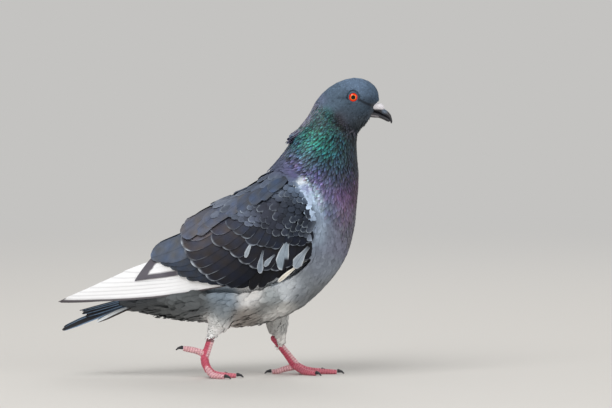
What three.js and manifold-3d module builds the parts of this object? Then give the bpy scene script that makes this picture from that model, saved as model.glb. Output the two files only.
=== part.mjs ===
// A walking feral pigeon as a still, life-size model.
// Row frame: millimetres, +X towards the bill, +Y towards the bird's left side, +Z up, the floor at Z = 0.
// The trunk, neck and head are one loft over shared ribs, parted by thin cuts. Wings, flight feathers,
// tail, legs, toes, claws, bill and eyes are solids of their own that meet their neighbours face to face.
import * as THREE from "three";
import Module from "manifold-3d";
import { mergeVertices } from "three/addons/utils/BufferGeometryUtils.js";

const wasm = await Module();
wasm.setup();

// ---------------------------------------------------------------- driving sizes, in millimetres
const GAP = 0.35; // air left between two pieces that touch in life
const FLOOR = 0; // the soles are flattened at this height
const RIB_SIDES = 24; // points round one rib of the body
const SMALLEST_PIECE = 1; // cubic millimetres: a cut leaves no crumb under this
const FINEST = 0.05; // slivers thinner than this, which a cut leaves along its edge, are closed up

// The body's ribs, from the tail coverts to the bill base. Each is a slice that runs from the back to the
// belly: [back x, back z, belly x, belly z, half width, height of the widest place as a share].
const RIBS = [
  [-84, 67, -86, 55, 9, 0.5],
  [-66, 80, -62, 52.5, 22, 0.5],
  [-40, 98, -38, 48, 34, 0.52],
  [-14, 120, -15, 44.5, 42, 0.54],
  [8, 140, 9, 41, 46.5, 0.54],
  [25, 157, 35, 44, 48.5, 0.52],
  [36, 168.5, 62, 55, 49, 0.5],
  [44, 177.5, 85.5, 76, 48, 0.47],
  [50, 185.5, 100.5, 98, 44.5, 0.45],
  [54.5, 192.5, 107, 120, 38.5, 0.45],
  [58, 199, 109.5, 143, 32, 0.46],
  [61.8, 205.5, 111, 163, 26, 0.47],
  [66, 212, 109.5, 182, 20.5, 0.48],
  [71, 219.5, 109.2, 198, 16.2, 0.48],
  [77, 228, 112, 202.8, 14.3, 0.46],
  [86, 237, 115, 205.8, 13.4, 0.46],
  [97, 243, 117, 208.3, 13.2, 0.47],
  [108, 245.2, 118.8, 210.5, 12.6, 0.48],
  [118, 243, 120.3, 212, 11, 0.46],
  [124.9, 236.5, 121.6, 213, 8.4, 0.42],
  [127.6, 227, 123.2, 213.8, 5, 0.45],
];
const NECK_FROM = 8.6; // the rib where the trunk ends and the neck starts
const HEAD_FROM = 13.1; // the rib where the neck ends and the head starts
const CUT = 0.05; // half the width of those two cuts, in ribs

const EYE = { x: 106.2, y: 7.3, z: 229.3, radius: 6 };
const CERE = { x: 127, y: 2.2, z: 221.4, long: 5.2, wide: 2.7, tall: 2.9, pitch: 0.3 };

// The bill's two halves: [upper x, upper z, lower x, lower z, half width] from the face to the tip.
const UPPER_BILL = [
  [124, 223, 118, 222, 5],
  [128, 221.5, 123.5, 219, 4.6],
  [131.3, 219.6, 127.5, 216.2, 4.1],
  [134, 217.6, 131, 214.6, 3.5],
  [136.6, 214.8, 134.2, 213, 2.8],
  [137.5, 211.9, 136.2, 211, 2.1],
  [138, 209.6, 137.1, 209, 1.2],
  [137.8, 208, 137.4, 207.8, 0.5],
];
const LOWER_BILL = [
  [118, 221.5, 120, 213.6, 4.7],
  [123.3, 218.6, 123.9, 212.8, 4.3],
  [127.3, 215.8, 127.8, 212.3, 3.7],
  [130.8, 214.2, 131.3, 210.9, 3],
  [134, 212.6, 134.3, 209.4, 2.2],
  [136.3, 210.9, 136, 209.2, 1.2],
];

// The right wing's outer face, station by station from the shoulder to the last tertial:
// [top x, y, z, fullest x, y, z, lower edge x, y, z, thickness]. The left wing is its mirror image.
const WING = [
  [66, -35, 169, 79, -47, 132, 72.5, -45, 96, 14],
  [45, -23, 173, 58, -51.5, 129, 56, -46.5, 83, 16],
  [22, -10, 158, 36, -53, 117, 38, -47.5, 74.5, 18],
  [2, -7, 146.5, 14, -52.5, 108, 17, -46.5, 70.5, 18],
  [-18, -5.5, 134, -6, -47.5, 101, -3, -43.5, 71, 12],
  [-36, -5, 119.5, -27, -41, 93, -19, -40.5, 71.5, 7],
  [-50, -5, 109, -43, -31, 91, -34, -36, 80, 4.5],
  [-62, -6.5, 98.5, -56, -16, 92, -51, -24, 87, 3],
];
// The right wing's folded flight feathers: [top x, y, z, middle x, y, z, lower edge x, y, z, thickness].
const PRIMARIES = [
  [-30, -14, 106, -24, -33, 86, -16, -38, 72.5, 3],
  [-48, -11, 104, -43, -27, 85, -40, -34.5, 69.8, 3],
  [-62, -8.5, 97, -61, -23.5, 82, -60, -30.5, 66.4, 3],
  [-84, -9.5, 87.5, -84.5, -20.5, 75.5, -85, -26, 63.7, 2.8],
  [-102, -10.5, 80.6, -104, -18.5, 71, -106, -22, 61.4, 2.4],
  [-118, -12, 73.3, -120, -17, 67, -122, -18.8, 60.2, 2],
  [-129, -14, 67.3, -130, -16.5, 63.5, -131, -17.2, 59.6, 1.4],
  [-136.8, -15.5, 62.3, -137.4, -16, 61, -138, -16.2, 60, 0.9],
];
// The closed tail, arched like a roof: [ridge x, ridge z, edge x, edge z, half width, thickness].
const TAIL = [
  [-58, 71, -56, 64, 10, 4],
  [-84, 65, -84, 56.4, 13, 4],
  [-104, 59.5, -105, 49.5, 15.6, 3.2],
  [-117, 55.6, -121, 44.6, 16.8, 2.4],
  [-121, 53.2, -131, 41.4, 16, 1.2],
];

// Legs as tubes: [x, y, z, half width across, half depth].
const THIGHS = {
  right: [
    [-1, -19, 58, 13, 14],
    [-4, -18.5, 45.5, 8.4, 10],
    [-7.2, -18.1, 39.6, 5, 6.4],
    [-9.2, -18, 35.4, 3.9, 4.5],
    [-10.6, -18, 31.6, 3, 3.6],
  ],
  left: [
    [41, 18, 62, 14, 15],
    [43.4, 18, 48.6, 10, 11],
    [44.4, 18, 37, 7.4, 8.6],
    [45.8, 18, 29.5, 5, 6],
    [48.6, 18, 23.4, 2.9, 3.5],
  ],
};
const TARSI = {
  right: [
    [-7, -18, 42, 2.9, 3.8],
    [-8.9, -18, 36, 2.4, 3.4],
    [-12.4, -18, 25, 2.3, 3.2],
    [-15.4, -18, 16.6, 3.1, 3.7],
  ],
  left: [
    [39.8, 18, 31.8, 2.8, 3.4],
    [44.2, 18, 26.4, 2.4, 3.1],
    [51.8, 18, 16.8, 2.4, 3.2],
    [59, 18, 7.2, 3.3, 4],
  ],
};
// Toes as tubes, from the foot's joint outwards. Digit 1 points back, 2 is the inner and 4 the outer one.
const TOES = {
  right: {
    3: [
      [-15.4, -18, 17, 3.2, 3.6],
      [-14, -18, 9.6, 3.1, 3.5],
      [-9, -18, 3.6, 2.9, 3.2],
      [-2, -17.8, 2.2, 2.6, 2.6],
      [5, -17.5, 1.9, 2.3, 2.3],
      [10.4, -17.2, 1.7, 2, 2],
    ],
    1: [
      [-15.6, -18, 19.6, 2.7, 3],
      [-21.6, -17.6, 22, 2.3, 2.6],
      [-28, -17.2, 23.4, 2.1, 2.5],
      [-32.6, -17, 24, 1.9, 2.1],
    ],
    2: [
      [-15.4, -16.4, 16.6, 2.5, 2.8],
      [-13.6, -14.4, 9.2, 2.5, 2.8],
      [-9.4, -12.4, 3.2, 2.4, 2.7],
      [-4.6, -9.8, 2, 2.2, 2.4],
      [0.4, -7.2, 1.7, 1.9, 2],
    ],
    4: [
      [-15.4, -19.6, 16.6, 2.5, 2.8],
      [-13.6, -21.6, 9.2, 2.5, 2.8],
      [-9.4, -24, 3.2, 2.4, 2.7],
      [-4.6, -26.8, 2, 2.2, 2.4],
      [1, -29.8, 1.7, 1.9, 2],
    ],
  },
  left: {
    3: [
      [58, 18, 8, 3.2, 3.6],
      [66, 18, 3.8, 3, 3.2],
      [76, 18.2, 2.3, 2.6, 2.7],
      [86, 18.4, 1.9, 2.3, 2.3],
      [93, 18.5, 1.7, 2, 2],
    ],
    1: [
      [58.6, 18.3, 6.2, 2.6, 2.8],
      [51, 18.8, 4.4, 2.3, 2.5],
      [44, 19.3, 2.1, 2.1, 2.3],
      [39.6, 19.6, 1.6, 1.9, 2],
    ],
    2: [
      [58.6, 16.2, 7, 2.6, 2.9],
      [65, 11.4, 3, 2.5, 2.8],
      [70.4, 6.6, 2, 2.3, 2.4],
      [75.4, 2.4, 1.7, 1.9, 2],
    ],
    4: [
      [58.6, 19.8, 7, 2.5, 2.8],
      [66, 24.6, 3.2, 2.4, 2.7],
      [73, 28.8, 2, 2.2, 2.4],
      [80, 32.8, 1.7, 1.9, 2],
    ],
  },
};
const CLAW = { reach: 6.2, rise: 0.9, drop: 1.3, width: 1.25, depth: 1.6, tip: 0.3 };

const COLOURS = {
  body: 0x8c939b,
  neck: 0x2f6058,
  head: 0x49525e,
  wing: 0x2c2f3a,
  white: 0xf0f0f2,
  tail: 0x30353f,
  skin: 0xc24a5e,
  horn: 0x22262c,
  cere: 0xe6e6ec,
  eye: 0xe0401a,
};

// ---------------------------------------------------------------- curves

// A smooth run through rows of numbers: row(0) is the first row, row(rows.length - 1) the last.
function runThrough(rows) {
  const last = rows.length - 1;
  return (t) => {
    const i = Math.min(Math.floor(Math.max(t, 0)), last - 1);
    const f = t - i;
    const [a, b, c, d] = [i - 1, i, i + 1, i + 2].map((k) => rows[Math.min(Math.max(k, 0), last)]);
    return b.map((_, n) => {
      const leave = i === 0 ? c[n] - b[n] : (c[n] - a[n]) / 2;
      const arrive = i + 2 > last ? c[n] - b[n] : (d[n] - b[n]) / 2;
      const [f2, f3] = [f * f, f * f * f];
      return (
        b[n] * (2 * f3 - 3 * f2 + 1) +
        leave * (f3 - 2 * f2 + f) +
        c[n] * (3 * f2 - 2 * f3) +
        arrive * (f3 - f2)
      );
    });
  };
}

// make(t) for steps + 1 even places of t between two values.
function along(from, to, steps, make) {
  return Array.from({ length: steps + 1 }, (_, i) => make(from + ((to - from) * i) / steps));
}

// ---------------------------------------------------------------- solids

// A closed surface through rings of points, turned to face out. Each end is a strip across its ring, from
// the points of its first half to those of its second, so a ring bent like a C is closed well too.
function loft(rings) {
  const sides = rings[0].length;
  const lastRing = (rings.length - 1) * sides;
  const points = rings.flat();
  const faces = [];
  for (let r = 0; r < lastRing; r += sides)
    for (let k = 0; k < sides; k++) {
      const [a, b] = [r + k, r + ((k + 1) % sides)];
      faces.push([a, b, b + sides], [a, b + sides, a + sides]);
    }
  for (let k = 0; k < sides / 2 - 1; k++) {
    const [a, b, c, d] = [k, k + 1, sides - 2 - k, sides - 1 - k];
    const [e, f, g, h] = [a, b, c, d].map((corner) => corner + lastRing);
    faces.push([a, c, b], [a, d, c], [e, f, g], [e, g, h]);
  }
  const corners = points.map((p) => new THREE.Vector3(...p));
  const volume = faces.reduce(
    (sum, [a, b, c]) => sum + corners[a].dot(new THREE.Vector3().crossVectors(corners[b], corners[c])),
    0,
  );
  const outward = volume < 0 ? faces.map(([a, b, c]) => [a, c, b]) : faces;
  const geometry = new THREE.BufferGeometry();
  geometry.setAttribute("position", new THREE.Float32BufferAttribute(points.flat(), 3));
  geometry.setIndex(outward.flat());
  return solidOf(geometry);
}

function solidOf(geometry) {
  const bare = geometry.clone();
  bare.deleteAttribute("normal");
  bare.deleteAttribute("uv");
  const merged = mergeVertices(bare, 1e-4);
  return new wasm.Manifold(
    new wasm.Mesh({
      numProp: 3,
      vertProperties: merged.attributes.position.array,
      triVerts: new Uint32Array(merged.index.array),
    }),
  );
}

function geometryOf(solid) {
  const mesh = solid.getMesh();
  const geometry = new THREE.BufferGeometry();
  geometry.setAttribute("position", new THREE.BufferAttribute(mesh.vertProperties.slice(), 3));
  geometry.setIndex(new THREE.BufferAttribute(mesh.triVerts.slice(), 1));
  return geometry;
}

// ---------------------------------------------------------------- trunk, neck and head

const ribAt = runThrough(RIBS);

// One rib's ring of points, swollen by `proud` millimetres.
function ribRing(t, proud = 0) {
  const [backX, backZ, bellyX, bellyZ, halfWidth, widest] = ribAt(t);
  const height = Math.hypot(backX - bellyX, backZ - bellyZ);
  const [upX, upZ] = [(backX - bellyX) / height, (backZ - bellyZ) / height];
  const lean = Math.log(widest) / Math.log(0.5);
  return along(0, 2 * Math.PI * (1 - 1 / RIB_SIDES), RIB_SIDES - 1, (turn) => {
    const up = -proud + (height + 2 * proud) * ((1 + Math.sin(turn)) / 2) ** lean;
    return [bellyX + upX * up, (halfWidth + proud) * Math.cos(turn), bellyZ + upZ * up];
  });
}

const bodyPart = (from, to, steps) => (proud) => loft(along(from, to, steps, (t) => ribRing(t, proud)));

// ---------------------------------------------------------------- eyes, cere and bill

const eye = (side) => (proud) =>
  solidOf(
    new THREE.SphereGeometry(EYE.radius + proud, 14, 8).translate(EYE.x, side * EYE.y, EYE.z),
  );

// The white cere is a pair of swellings over the nostrils.
function cere(proud) {
  const lobe = (side) =>
    solidOf(
      new THREE.SphereGeometry(1, 10, 7)
        .scale(CERE.long + proud, CERE.wide + proud, CERE.tall + proud)
        .rotateY(CERE.pitch)
        .translate(CERE.x, side * CERE.y, CERE.z),
    );
  return lobe(1).add(lobe(-1));
}

// Half of the bill: slices from the face to the tip, each an oval between an upper and a lower point.
const billHalf = (rows) => (proud) =>
  loft(
    along(0, rows.length - 1, rows.length + 2, (t) => {
      const [upperX, upperZ, lowerX, lowerZ, halfWidth] = runThrough(rows)(t);
      const [midX, midZ] = [(upperX + lowerX) / 2, (upperZ + lowerZ) / 2];
      const halfHeight = Math.hypot(upperX - lowerX, upperZ - lowerZ) / 2;
      const grow = (halfHeight + proud) / halfHeight;
      return along(0, 2 * Math.PI * (11 / 12), 11, (turn) => [
        midX + (upperX - midX) * grow * Math.sin(turn),
        (halfWidth + proud) * Math.cos(turn),
        midZ + (upperZ - midZ) * grow * Math.sin(turn),
      ]);
    }),
  );

// ---------------------------------------------------------------- wings and flight feathers

// A curved shell through three lines, with its edges rounded over. The arc above and below the fullest
// line is a quarter of an oval, and the inner face lies `thickness` nearer the bird's middle.
const shell = (rows, side, steps, arcPoints) => (proud) =>
  loft(
    along(0, rows.length - 1, steps, (t) => {
      const row = runThrough(rows)(t);
      const [top, full, low] = [row.slice(0, 3), row.slice(3, 6), row.slice(6, 9)];
      const thickness = row[9];
      const outer = along(-1, 1, arcPoints, (v) => {
        const end = v < 0 ? top : low;
        const turn = (Math.abs(v) * Math.PI) / 2;
        return [
          full[0] + (end[0] - full[0]) * Math.abs(v),
          end[1] + (full[1] - end[1]) * Math.cos(turn),
          full[2] + (end[2] - full[2]) * Math.sin(turn),
        ];
      });
      const heart = [full[0], 0, (top[2] + low[2]) / 2];
      const inward = outer.map((p) =>
        new THREE.Vector3(heart[0] - p[0], heart[1] - p[1], heart[2] - p[2]).setX(0).normalize(),
      );
      const lengthen = (p, from) => {
        const apart = new THREE.Vector3(...p).sub(new THREE.Vector3(...from)).setLength(proud);
        return [p[0] + apart.x, p[1] + apart.y, p[2] + apart.z];
      };
      outer[0] = lengthen(outer[0], outer[1]);
      outer[arcPoints] = lengthen(outer[arcPoints], outer[arcPoints - 1]);
      const past = t === 0 ? proud : t === rows.length - 1 ? -proud : 0;
      const moved = (p, n, by) => [p[0] + n.x * by + past, p[1] + n.y * by, p[2] + n.z * by];
      const ring = [
        ...outer.map((p, i) => moved(p, inward[i], -proud)),
        ...outer.map((p, i) => moved(p, inward[i], thickness + proud)).reverse(),
      ];
      return side < 0 ? ring : ring.map(([x, y, z]) => [x, -y, z]);
    }),
  );

// ---------------------------------------------------------------- tail

function tail(proud) {
  return loft(
    along(0, TAIL.length - 1, 8, (t) => {
      const [ridgeX, ridgeZ, edgeX, edgeZ, halfWidth, thickness] = runThrough(TAIL)(t);
      const roof = (lift) =>
        along(-1, 1, 8, (v) => [
          ridgeX + (edgeX - ridgeX) * v * v,
          v * (halfWidth + proud),
          ridgeZ + (edgeZ - ridgeZ) * v * v + lift,
        ]);
      return [...roof(proud), ...roof(-thickness - proud).reverse()];
    }),
  );
}

// ---------------------------------------------------------------- legs and feet

// A tube along rows of [x, y, z, half width, half depth]. Nothing goes below the floor, so a toe that
// rests there has a narrow flat sole.
function tube(rows, steps, sides, proud) {
  const at = runThrough(rows);
  const last = rows.length - 1;
  return loft(
    along(0, last, steps, (t) => {
      const [x, y, z, halfWidth, halfDepth] = at(t);
      const step = 0.01;
      const [before, after] = [at(Math.max(t - step, 0)), at(Math.min(t + step, last))];
      const ahead = new THREE.Vector3(...[0, 1, 2].map((n) => after[n] - before[n])).normalize();
      const across = new THREE.Vector3(0, 1, 0).addScaledVector(ahead, -ahead.y).normalize();
      const up = new THREE.Vector3().crossVectors(ahead, across);
      const past = t === 0 ? -proud : t === last ? proud : 0;
      const half = Math.PI / sides;
      return along(half, 2 * Math.PI - half, sides - 1, (turn) => {
        const sideways = (halfWidth + proud) * Math.cos(turn);
        const upwards = (halfDepth + proud) * Math.sin(turn);
        return [
          x + ahead.x * past + across.x * sideways + up.x * upwards,
          y + ahead.y * past + across.y * sideways + up.y * upwards,
          Math.max(z + ahead.z * past + across.z * sideways + up.z * upwards, FLOOR - proud),
        ];
      });
    }),
  );
}

// A claw goes on from the end of its toe, up a little and then down to a fine tip.
function clawRows(toe) {
  const [before, end] = toe.slice(-2);
  const ahead = new THREE.Vector3(end[0] - before[0], end[1] - before[1], 0).normalize();
  const place = (share, height, width) => [
    end[0] + ahead.x * CLAW.reach * share,
    end[1] + ahead.y * CLAW.reach * share,
    end[2] + height,
    CLAW.width * width,
    CLAW.depth * width,
  ];
  return [
    place(-0.3, CLAW.rise * 0.5, 1),
    place(0.25, CLAW.rise, 1),
    place(0.7, CLAW.rise * 0.3, 0.62),
    place(1, -CLAW.drop, CLAW.tip),
  ];
}

// ---------------------------------------------------------------- the whole bird

const group = new THREE.Group();
const placed = [];

// Adds a piece, with room left round every piece placed before it. make(proud) gives its solid, swollen
// by that many millimetres. A cut that leaves crumbs keeps only the main body.
function add(name, make, colour, roughness) {
  let solid = make(0);
  const box = solid.boundingBox();
  for (const earlier of placed) {
    const apart = [0, 1, 2].some(
      (n) => earlier.box.min[n] > box.max[n] + GAP || earlier.box.max[n] < box.min[n] - GAP,
    );
    if (!apart) solid = solid.subtract(earlier.make(GAP));
  }
  const bodies = solid.decompose().filter((b) => b.volume() > SMALLEST_PIECE);
  solid = bodies.reduce((largest, b) => (b.volume() > largest.volume() ? b : largest));
  if (placed.length) solid = solid.asOriginal().simplify(FINEST);
  placed.push({ make, box });
  const material = new THREE.MeshStandardMaterial({ color: colour, roughness, metalness: 0 });
  const mesh = new THREE.Mesh(geometryOf(solid), material);
  mesh.name = name;
  group.add(mesh);
}

const SIDES = { right: -1, left: 1 };
for (const [name, side] of Object.entries(SIDES)) add(`eye_${name}`, eye(side), COLOURS.eye, 0.1);
add("trunk", bodyPart(0, NECK_FROM - CUT, 18), COLOURS.body, 0.9);
add("neck", bodyPart(NECK_FROM + CUT, HEAD_FROM - CUT, 7), COLOURS.neck, 0.6);
add("head", bodyPart(HEAD_FROM + CUT, RIBS.length - 1, 11), COLOURS.head, 0.9);
add("cere", cere, COLOURS.cere, 0.7);
add("bill_upper", billHalf(UPPER_BILL), COLOURS.horn, 0.4);
add("bill_lower", billHalf(LOWER_BILL), COLOURS.horn, 0.4);
add("tail", tail, COLOURS.tail, 0.8);
for (const [name, side] of Object.entries(SIDES)) {
  add(`wing_${name}`, shell(WING, side, 13, 10), COLOURS.wing, 0.8);
  add(`primaries_${name}`, shell(PRIMARIES, side, 9, 4), COLOURS.white, 0.8);
  add(`tarsus_${name}`, (proud) => tube(TARSI[name], 6, 8, proud), COLOURS.skin, 0.6);
  add(`thigh_${name}`, (proud) => tube(THIGHS[name], 7, 10, proud), COLOURS.white, 0.9);
  for (const digit of [3, 1, 2, 4]) {
    const toe = TOES[name][digit];
    add(`toe_${name}_${digit}`, (proud) => tube(toe, 7, 8, proud), COLOURS.skin, 0.6);
    add(`claw_${name}_${digit}`, (proud) => tube(clawRows(toe), 3, 6, proud), COLOURS.horn, 0.4);
  }
}

export default group;
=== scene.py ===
"""A walking feral pigeon: one skin under a coat of vanes, wing and tail quills, scaly feet, bill and eyes.

Sizes in the tables are millimetres in the row frame: +X towards the bill, +Y towards the bird's left, +Z up.
What is said of the right side (-Y) holds for the left side too, mirrored.
"""

import math

import bpy
import numpy as np
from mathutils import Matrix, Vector
from mathutils.bvhtree import BVHTree


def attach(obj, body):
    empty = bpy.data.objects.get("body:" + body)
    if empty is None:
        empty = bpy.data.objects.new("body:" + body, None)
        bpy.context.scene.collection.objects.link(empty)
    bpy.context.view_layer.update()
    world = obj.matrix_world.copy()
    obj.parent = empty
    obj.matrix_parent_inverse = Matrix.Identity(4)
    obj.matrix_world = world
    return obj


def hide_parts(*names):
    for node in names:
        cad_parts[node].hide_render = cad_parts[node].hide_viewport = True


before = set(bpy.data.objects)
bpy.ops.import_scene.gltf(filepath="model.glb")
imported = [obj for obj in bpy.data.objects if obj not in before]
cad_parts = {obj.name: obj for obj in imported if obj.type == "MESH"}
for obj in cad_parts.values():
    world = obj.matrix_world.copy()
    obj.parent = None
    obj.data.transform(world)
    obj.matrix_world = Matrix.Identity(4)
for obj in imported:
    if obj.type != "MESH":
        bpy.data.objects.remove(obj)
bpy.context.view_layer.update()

bl_info = {
    "name": "Feral pigeon",
    "version": (1, 0, 0),
    "blender": (4, 5, 0),
    "location": "3D View > Sidebar > Pigeon",
    "description": "Builds a life-size walking pigeon round its packed solids",
    "category": "Object",
}

MM = 0.001
SIDES = {"right": -1, "left": 1}
FLESH = ("trunk", "neck", "head", "wing_right", "wing_left", "thigh_right", "thigh_left")
COLOUR = "plumage"  # the colour attribute that skin and vanes carry


def table(*rows):
    return np.array(rows, float)


def srgb(*values):
    """Linear colours from display values of 0 to 255, three numbers or an array of them."""
    c = np.array(values if len(values) > 1 else values[0], float) / 255
    return np.where(c <= 0.04045, c / 12.92, ((c + 0.055) / 1.055) ** 2.4)


# ---------------------------------------------------------------- the bird's markings

# Where the ground colours lie: x, distance from the midline, z, how far each reaches, and its colour.
GROUND = table(
    (106, 0, 246, 12, 98, 118, 142),  # crown
    (124, 4, 236, 7, 78, 96, 116),  # forehead
    (88, 5, 238, 10, 86, 104, 124),
    (78, 5, 228, 5, 100, 110, 134),  # nape, with a lilac bloom
    (66, 6, 214, 5, 140, 134, 166),
    (108, 13, 222, 7, 66, 81, 96),  # cheek
    (94, 13, 230, 7, 76, 93, 109),
    (119, 8, 225, 4, 56, 68, 82),  # lores
    (104, 14, 214, 7, 66, 76, 88),
    (95, 15, 208.5, 5.5, 58, 52, 60),  # ear
    (111, 5, 207, 6, 62, 68, 74),  # throat
    (119, 3, 211, 4, 72, 82, 94),
    (105, 11, 203.5, 4.5, 30, 34, 40),  # shadowed foot of the throat
    (76, 14, 210, 8, 66, 112, 112),  # hind neck
    (85, 18, 203, 7, 52, 112, 114),
    (74, 20, 192, 8, 58, 168, 150),  # green sides of the neck
    (84, 24, 186, 8, 44, 132, 132),
    (62, 18, 188, 8, 74, 132, 142),
    (94, 20, 190, 7, 44, 98, 108),
    (107, 10, 196, 8, 50, 62, 70),  # front of the neck
    (106, 14, 180, 9, 52, 66, 80),
    (92, 26, 174, 8, 60, 96, 116),
    (74, 28, 175, 8, 68, 108, 132),
    (58, 20, 174, 8, 114, 112, 156),
    (72, 32, 165, 8, 112, 104, 156),  # purple foot of the neck
    (88, 32, 163, 8, 84, 92, 128),
    (84, 34, 153, 7, 120, 116, 158),
    (100, 26, 160, 8, 76, 76, 104),
    (98, 32, 148, 8, 122, 94, 138),
    (108, 14, 148, 9, 92, 66, 94),
    (100, 33, 134, 9, 136, 116, 146),  # breast
    (88, 36, 136, 8, 112, 126, 154),
    (82, 38, 118, 10, 122, 132, 148),
    (98, 34, 112, 12, 126, 128, 148),
    (108, 12, 118, 14, 100, 98, 114),
    (88, 36, 88, 12, 136, 144, 158),
    (84, 15, 72, 14, 122, 126, 130),
    (66, 40, 76, 8, 146, 153, 162),
    (52, 42, 76, 7, 226, 233, 240),  # belly
    (39, 42, 66, 6, 180, 188, 193),
    (22, 42, 67, 8, 252, 253, 254),
    (34, 35, 55, 8, 140, 142, 142),
    (20, 25, 47, 10, 156, 151, 146),
    (2, 40, 66, 8, 154, 170, 186),
    (-2, 36, 54, 9, 138, 146, 152),
    (45, 8, 43, 12, 132, 134, 134),
    (-26, 30, 60, 10, 108, 113, 116),  # rear flank
    (-35, 6, 48, 14, 104, 107, 108),
    (-72, 6, 54, 14, 84, 86, 88),  # undertail
    (45, 15, 178, 10, 98, 106, 132),  # mantle
    (25, 12, 160, 12, 84, 94, 113),
    (-5, 8, 135, 14, 104, 112, 128),
    (-40, 5, 100, 16, 118, 128, 142),  # rump
    (-75, 5, 74, 12, 96, 104, 114),
    (64, 46, 154, 7, 92, 108, 130),  # shoulder
    (56, 50, 142, 9, 48, 56, 70),  # small coverts
    (66, 48, 130, 8, 34, 42, 56),
    (38, 50, 138, 9, 48, 52, 66),
    (22, 50, 128, 7, 84, 92, 110),
    (35, 50, 122, 7, 44, 48, 60),
    (0, 48, 128, 9, 88, 96, 112),
    (40, 46, 160, 8, 98, 110, 130),  # scapulars
    (12, 40, 148, 9, 92, 102, 120),
    (-6, 18, 44, 8, 250, 250, 248),  # thighs
    (-9, 18, 34, 6, 255, 255, 254),
    (44, 18, 46, 9, 255, 255, 252),
    (46, 18, 30, 6, 255, 253, 249),
)
CRESCENT = table((65.5, 161), (72.5, 154), (76, 147), (79, 139), (79.5, 128), (78, 115))
SHOULDER_SPOT = table((64, 163), (67, 161))
# Painted shade: a dark line of shade in the fold of the feathers from the gape towards the eye, as (x, z)
# knots.
GAPE_SHADE_LINE = table((110.5, 227.6), (116, 224.6), (121.5, 222.4), (127, 219.6))
EYE_LINE = table((94, 228.6), (101, 229))


def near_line(points, line, width):
    """1 on a line drawn in the side view, in millimetres, falling to 0 at `width` from it."""
    flat = points[..., [0, 2]] / MM
    best = np.full(flat.shape[:-1], 1e9)
    for a, b in zip(line[:-1], line[1:]):
        along = np.clip(((flat - a) @ (b - a)) / ((b - a) @ (b - a)), 0, 1)
        best = np.minimum(best, np.linalg.norm(flat - a - along[..., None] * (b - a), axis=-1))
    return smooth(1 - best / width)


def smooth(x):
    x = np.clip(x, 0, 1)
    return x * x * (3 - 2 * x)


def mix(a, b, share):
    return a + (b - a) * share[..., None]


def blended(points, places, values, flatten=(1, 0.7, 1)):
    """Each point's mean of the values, by how near it is to each place for that place's reach."""
    p = np.stack([points[:, 0], np.abs(points[:, 1]), points[:, 2]], 1) / MM
    out = np.empty((len(p), values.shape[1]))
    for start in range(0, len(p), 40000):
        part = p[start : start + 40000]
        away = (part[:, None] - places[None, :, :3]) * np.array(flatten)
        d = (away**2).sum(-1) / places[:, 3] ** 2
        w = np.exp(-(d - d.min(1, keepdims=True)))
        out[start : start + 40000] = (w @ values) / w.sum(1, keepdims=True)
    return out


def markings(points):
    """The colour of skin and coat at points of any array shape: the ground and the marks on it, and painted
    shade along the gape and at the foot of the throat.
    """
    flat = points.reshape(-1, 3)
    side, height = np.abs(flat[:, 1]) / MM, flat[:, 2] / MM
    c = blended(flat, GROUND, srgb(GROUND[:, 4:]))
    crescent = near_line(flat, CRESCENT, 8.5) * smooth((side - 22) / 8)
    c = mix(c, srgb(200, 222, 246), crescent * (0.3 + 0.65 * smooth((height - 132) / 16)))
    spot = near_line(flat, SHOULDER_SPOT, 5)
    c = mix(c, srgb(222, 230, 238), 0.9 * spot * smooth((side - 20) / 6))
    # painted shade along the fold by the gape
    c = mix(c, srgb(24, 28, 36), 0.9 * near_line(flat, GAPE_SHADE_LINE, 1.9) * (side > 3.5))
    c = mix(c, srgb(34, 44, 56), 0.5 * near_line(flat, EYE_LINE, 1.8) * (side > 6))
    return c.reshape(points.shape)


# ---------------------------------------------------------------- settings


class PigeonPlumage(bpy.types.PropertyGroup):
    spacing: bpy.props.FloatProperty(
        name="Spacing", description="Space between feathers, 1 as usual", default=1.0, min=0.6, max=3.0
    )
    coat_depth: bpy.props.FloatProperty(
        name="Coat depth", description="How far the skin lies below the outline", default=0.004, unit="LENGTH"
    )
    disorder: bpy.props.FloatProperty(
        name="Disorder", description="How far feathers stray, 1 as usual", default=1.0, min=0.0, max=3.0
    )
    seed: bpy.props.IntProperty(name="Seed", description="Seed of every random draw", default=11)


def colour_setting(name, description, *display):
    """A colour property, its default given as display values of 0 to 255."""
    linear = tuple(srgb(*display))
    return bpy.props.FloatVectorProperty(name=name, description=description, subtype="COLOR", default=linear)


class PigeonColours(bpy.types.PropertyGroup):
    iris: colour_setting("Iris", "Outer ring of the eye", 238, 44, 8)
    iris_inner: colour_setting("Inner iris", "Ring round the pupil", 255, 150, 30)
    foot: colour_setting("Foot", "Skin of the legs and toes", 204, 84, 108)
    # the painted shade in the creases between the scales
    foot_crease_shade: colour_setting("Foot creases", "Creases between the scales", 122, 30, 52)
    horn: colour_setting("Horn", "Bill and claws", 44, 44, 50)
    cere: colour_setting("Cere", "Swellings over the nostrils", 224, 222, 226)
    floor: colour_setting("Floor", "Studio floor", 206, 203, 198)
    backdrop: colour_setting("Backdrop", "Studio backdrop", 196, 195, 193)


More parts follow.
